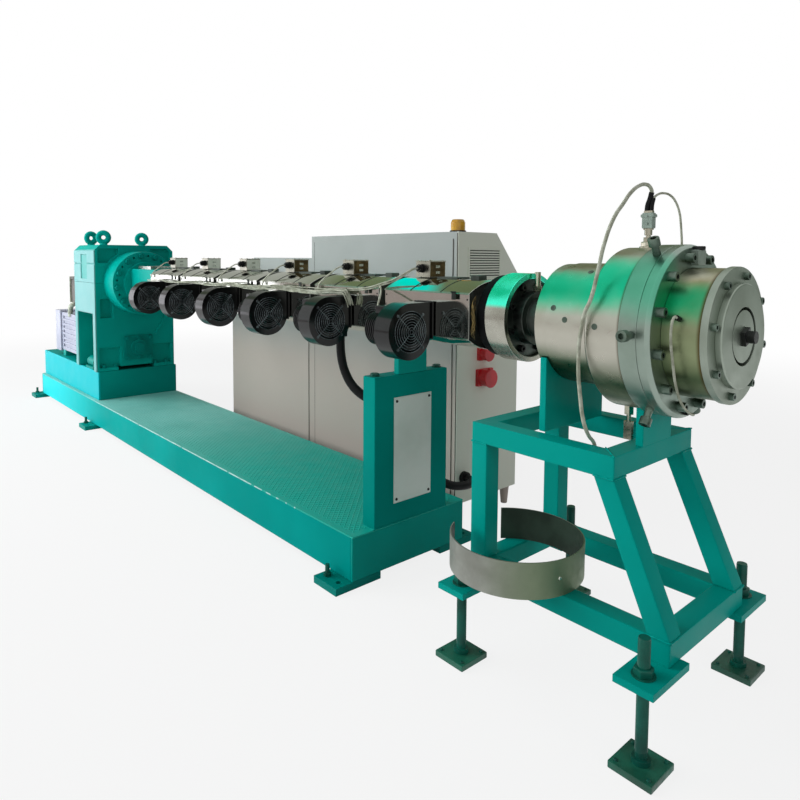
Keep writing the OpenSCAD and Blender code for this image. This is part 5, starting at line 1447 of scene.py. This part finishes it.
PAD_X, PAD_Y, PAD_SCREW = (0.5745, 1.2015), (-0.307, 0.307), (-0.045, 0.045)
pads = [(x, y) for x in PAD_X for y in PAD_Y]
pad_top = high("stand_pads").z
THREAD_PITCH = 0.004
bolt_top = rail_high.z - TUBE_W + 0.100
thread_rings = ([pad_top + 0.032 + n * THREAD_PITCH for n in range(40)]
                + [bolt_top - 0.006 - n * THREAD_PITCH for n in range(22)])
heads, threads = [], []
for x, y in pads:
    for dx in PAD_SCREW:
        for dy in PAD_SCREW:
            place = at(x + dx, y + dy, pad_top - 0.001)
            heads.append(pole(place, place + Vector((0, 0, 0.006)), 0.006, 0.0045, sides=16, edge=0.0008))
    for z in thread_rings:
        threads.append(pole(at(x, y, z), at(x, y, z + 0.002), 0.0162, 0.0154, sides=20))
settle(joined(heads), "pad_screws", JACK_GREEN, "dark_steel")
settle(joined(threads), "jack_threads", JACK_GREEN, "dark_steel")
nuts = spread(hex_bolt(0.046, 0.018), [put(at(x, y, rail_low.z), (0, 0, 1), 12) for x, y in pads])
settle(joined(nuts), "jack_nuts", JACK_GREEN, "dark_steel")
print("hardware placed")

# %% [markdown]
# The console is a folded steel cabinet with plain panels on its near side. The body and feet keep their CAD
# form. Thin dark strips in the seams beside the panels are painted shade; the louvre on the end has a raised
# frame over a dark sheet of painted shade, and the two red machine sockets have hinged lids.

# %% Console cabinet
for node, width, paint in (
        ("console_body", 0.004, CONSOLE), ("console_panels", 0.0012, CONSOLE),
        ("console_feet", 0.002, CONSOLE), ("machine_sockets", 0.002, RED), ("beacon", 0.004, AMBER)):
    softened(node, width, paint)

END_X, NEAR_Y, TOP_Z = -0.170, 0.447, 1.430
panel_face = low("console_panels").y
# Thin dark strips in the seams are painted shade.
seam_shade_strips = [slab((x - 0.0015, x + 0.0015), (panel_face - 0.0006, panel_face + 0.003), (0.135, top), 0.0004, 1)
         for x, top in ((-1.444, 0.93), (-1.376, 1.396), (-0.204, 1.396), (-0.176, 1.425))]
settle(joined(seam_shade_strips), "panel_seam_shade", MOTOR_DARK, "console_grey")
border = slab((END_X, END_X + 0.004), (NEAR_Y + 0.066, NEAR_Y + 0.314), (TOP_Z - 0.235, TOP_Z - 0.073))
cut(border, slab((-0.2, -0.1), (NEAR_Y + 0.078, NEAR_Y + 0.302), (TOP_Z - 0.223, TOP_Z - 0.085)))
settle(soft_edges(border, 0.001), "louvre_frame", CONSOLE, "console_grey")
# A dark sheet inside the louvre frame is painted shade in place of the louvre's slots.
painted_shade_sheet = slab((END_X - 0.0005, END_X + 0.0008), (NEAR_Y + 0.080, NEAR_Y + 0.300),
               (TOP_Z - 0.221, TOP_Z - 0.087), 0.0003, 1)
settle(painted_shade_sheet, "louvre_shadow", SHADOW, "console_grey")
SOCKET_Y = 0.622
BEACON_AT = (-0.232, 0.507)
lids = []
for z, scale in ((TOP_Z - 0.598, 0.8), (TOP_Z - 0.718, 1.0)):
    lid_x = END_X + 0.062 * scale
    lids.append(pole(at(lid_x, SOCKET_Y, z), at(lid_x + 0.007, SOCKET_Y, z), 0.046 * scale, sides=40,
                     edge=0.003))
    lids.append(slab((lid_x - 0.012, lid_x + 0.006), (SOCKET_Y - 0.012, SOCKET_Y + 0.012),
                     (z + 0.040 * scale, z + 0.054 * scale), 0.002))
settle(joined(lids), "socket_lids", RED, "red_plastic")
base = pole(at(*BEACON_AT, TOP_Z), at(*BEACON_AT, TOP_Z + 0.008), 0.040, sides=40, edge=0.002)
settle(base, "beacon_base", DARK_BOLT, "amber_plastic")
print("console dressed")

# %% [markdown]
# Last, every CAD node that is still shown gets its finish by its slot.

# %% Remaining nodes
BY_SLOT = {
    "teal_paint": TEAL, "deck_paint": DECK, "pad_green": PAD_GREEN, "motor_grey": MOTOR_GREY,
    "motor_dark": MOTOR_DARK, "die_steel": OILED_STEEL, "bright_steel": BRIGHT_STEEL,
    "cast_aluminium": ALUMINIUM, "stainless": STAINLESS, "black_paint": BLACK, "dark_steel": DARK_BOLT,
    "console_grey": CONSOLE, "cover_grey": COVER_GREY, "red_plastic": RED, "amber_plastic": AMBER,
    "cable_black": CABLE_BLACK, "cable_pale": CABLE_PALE,
}
for part in record["subparts"]:
    dress(part["node"], BY_SLOT[part["material_slot"]])
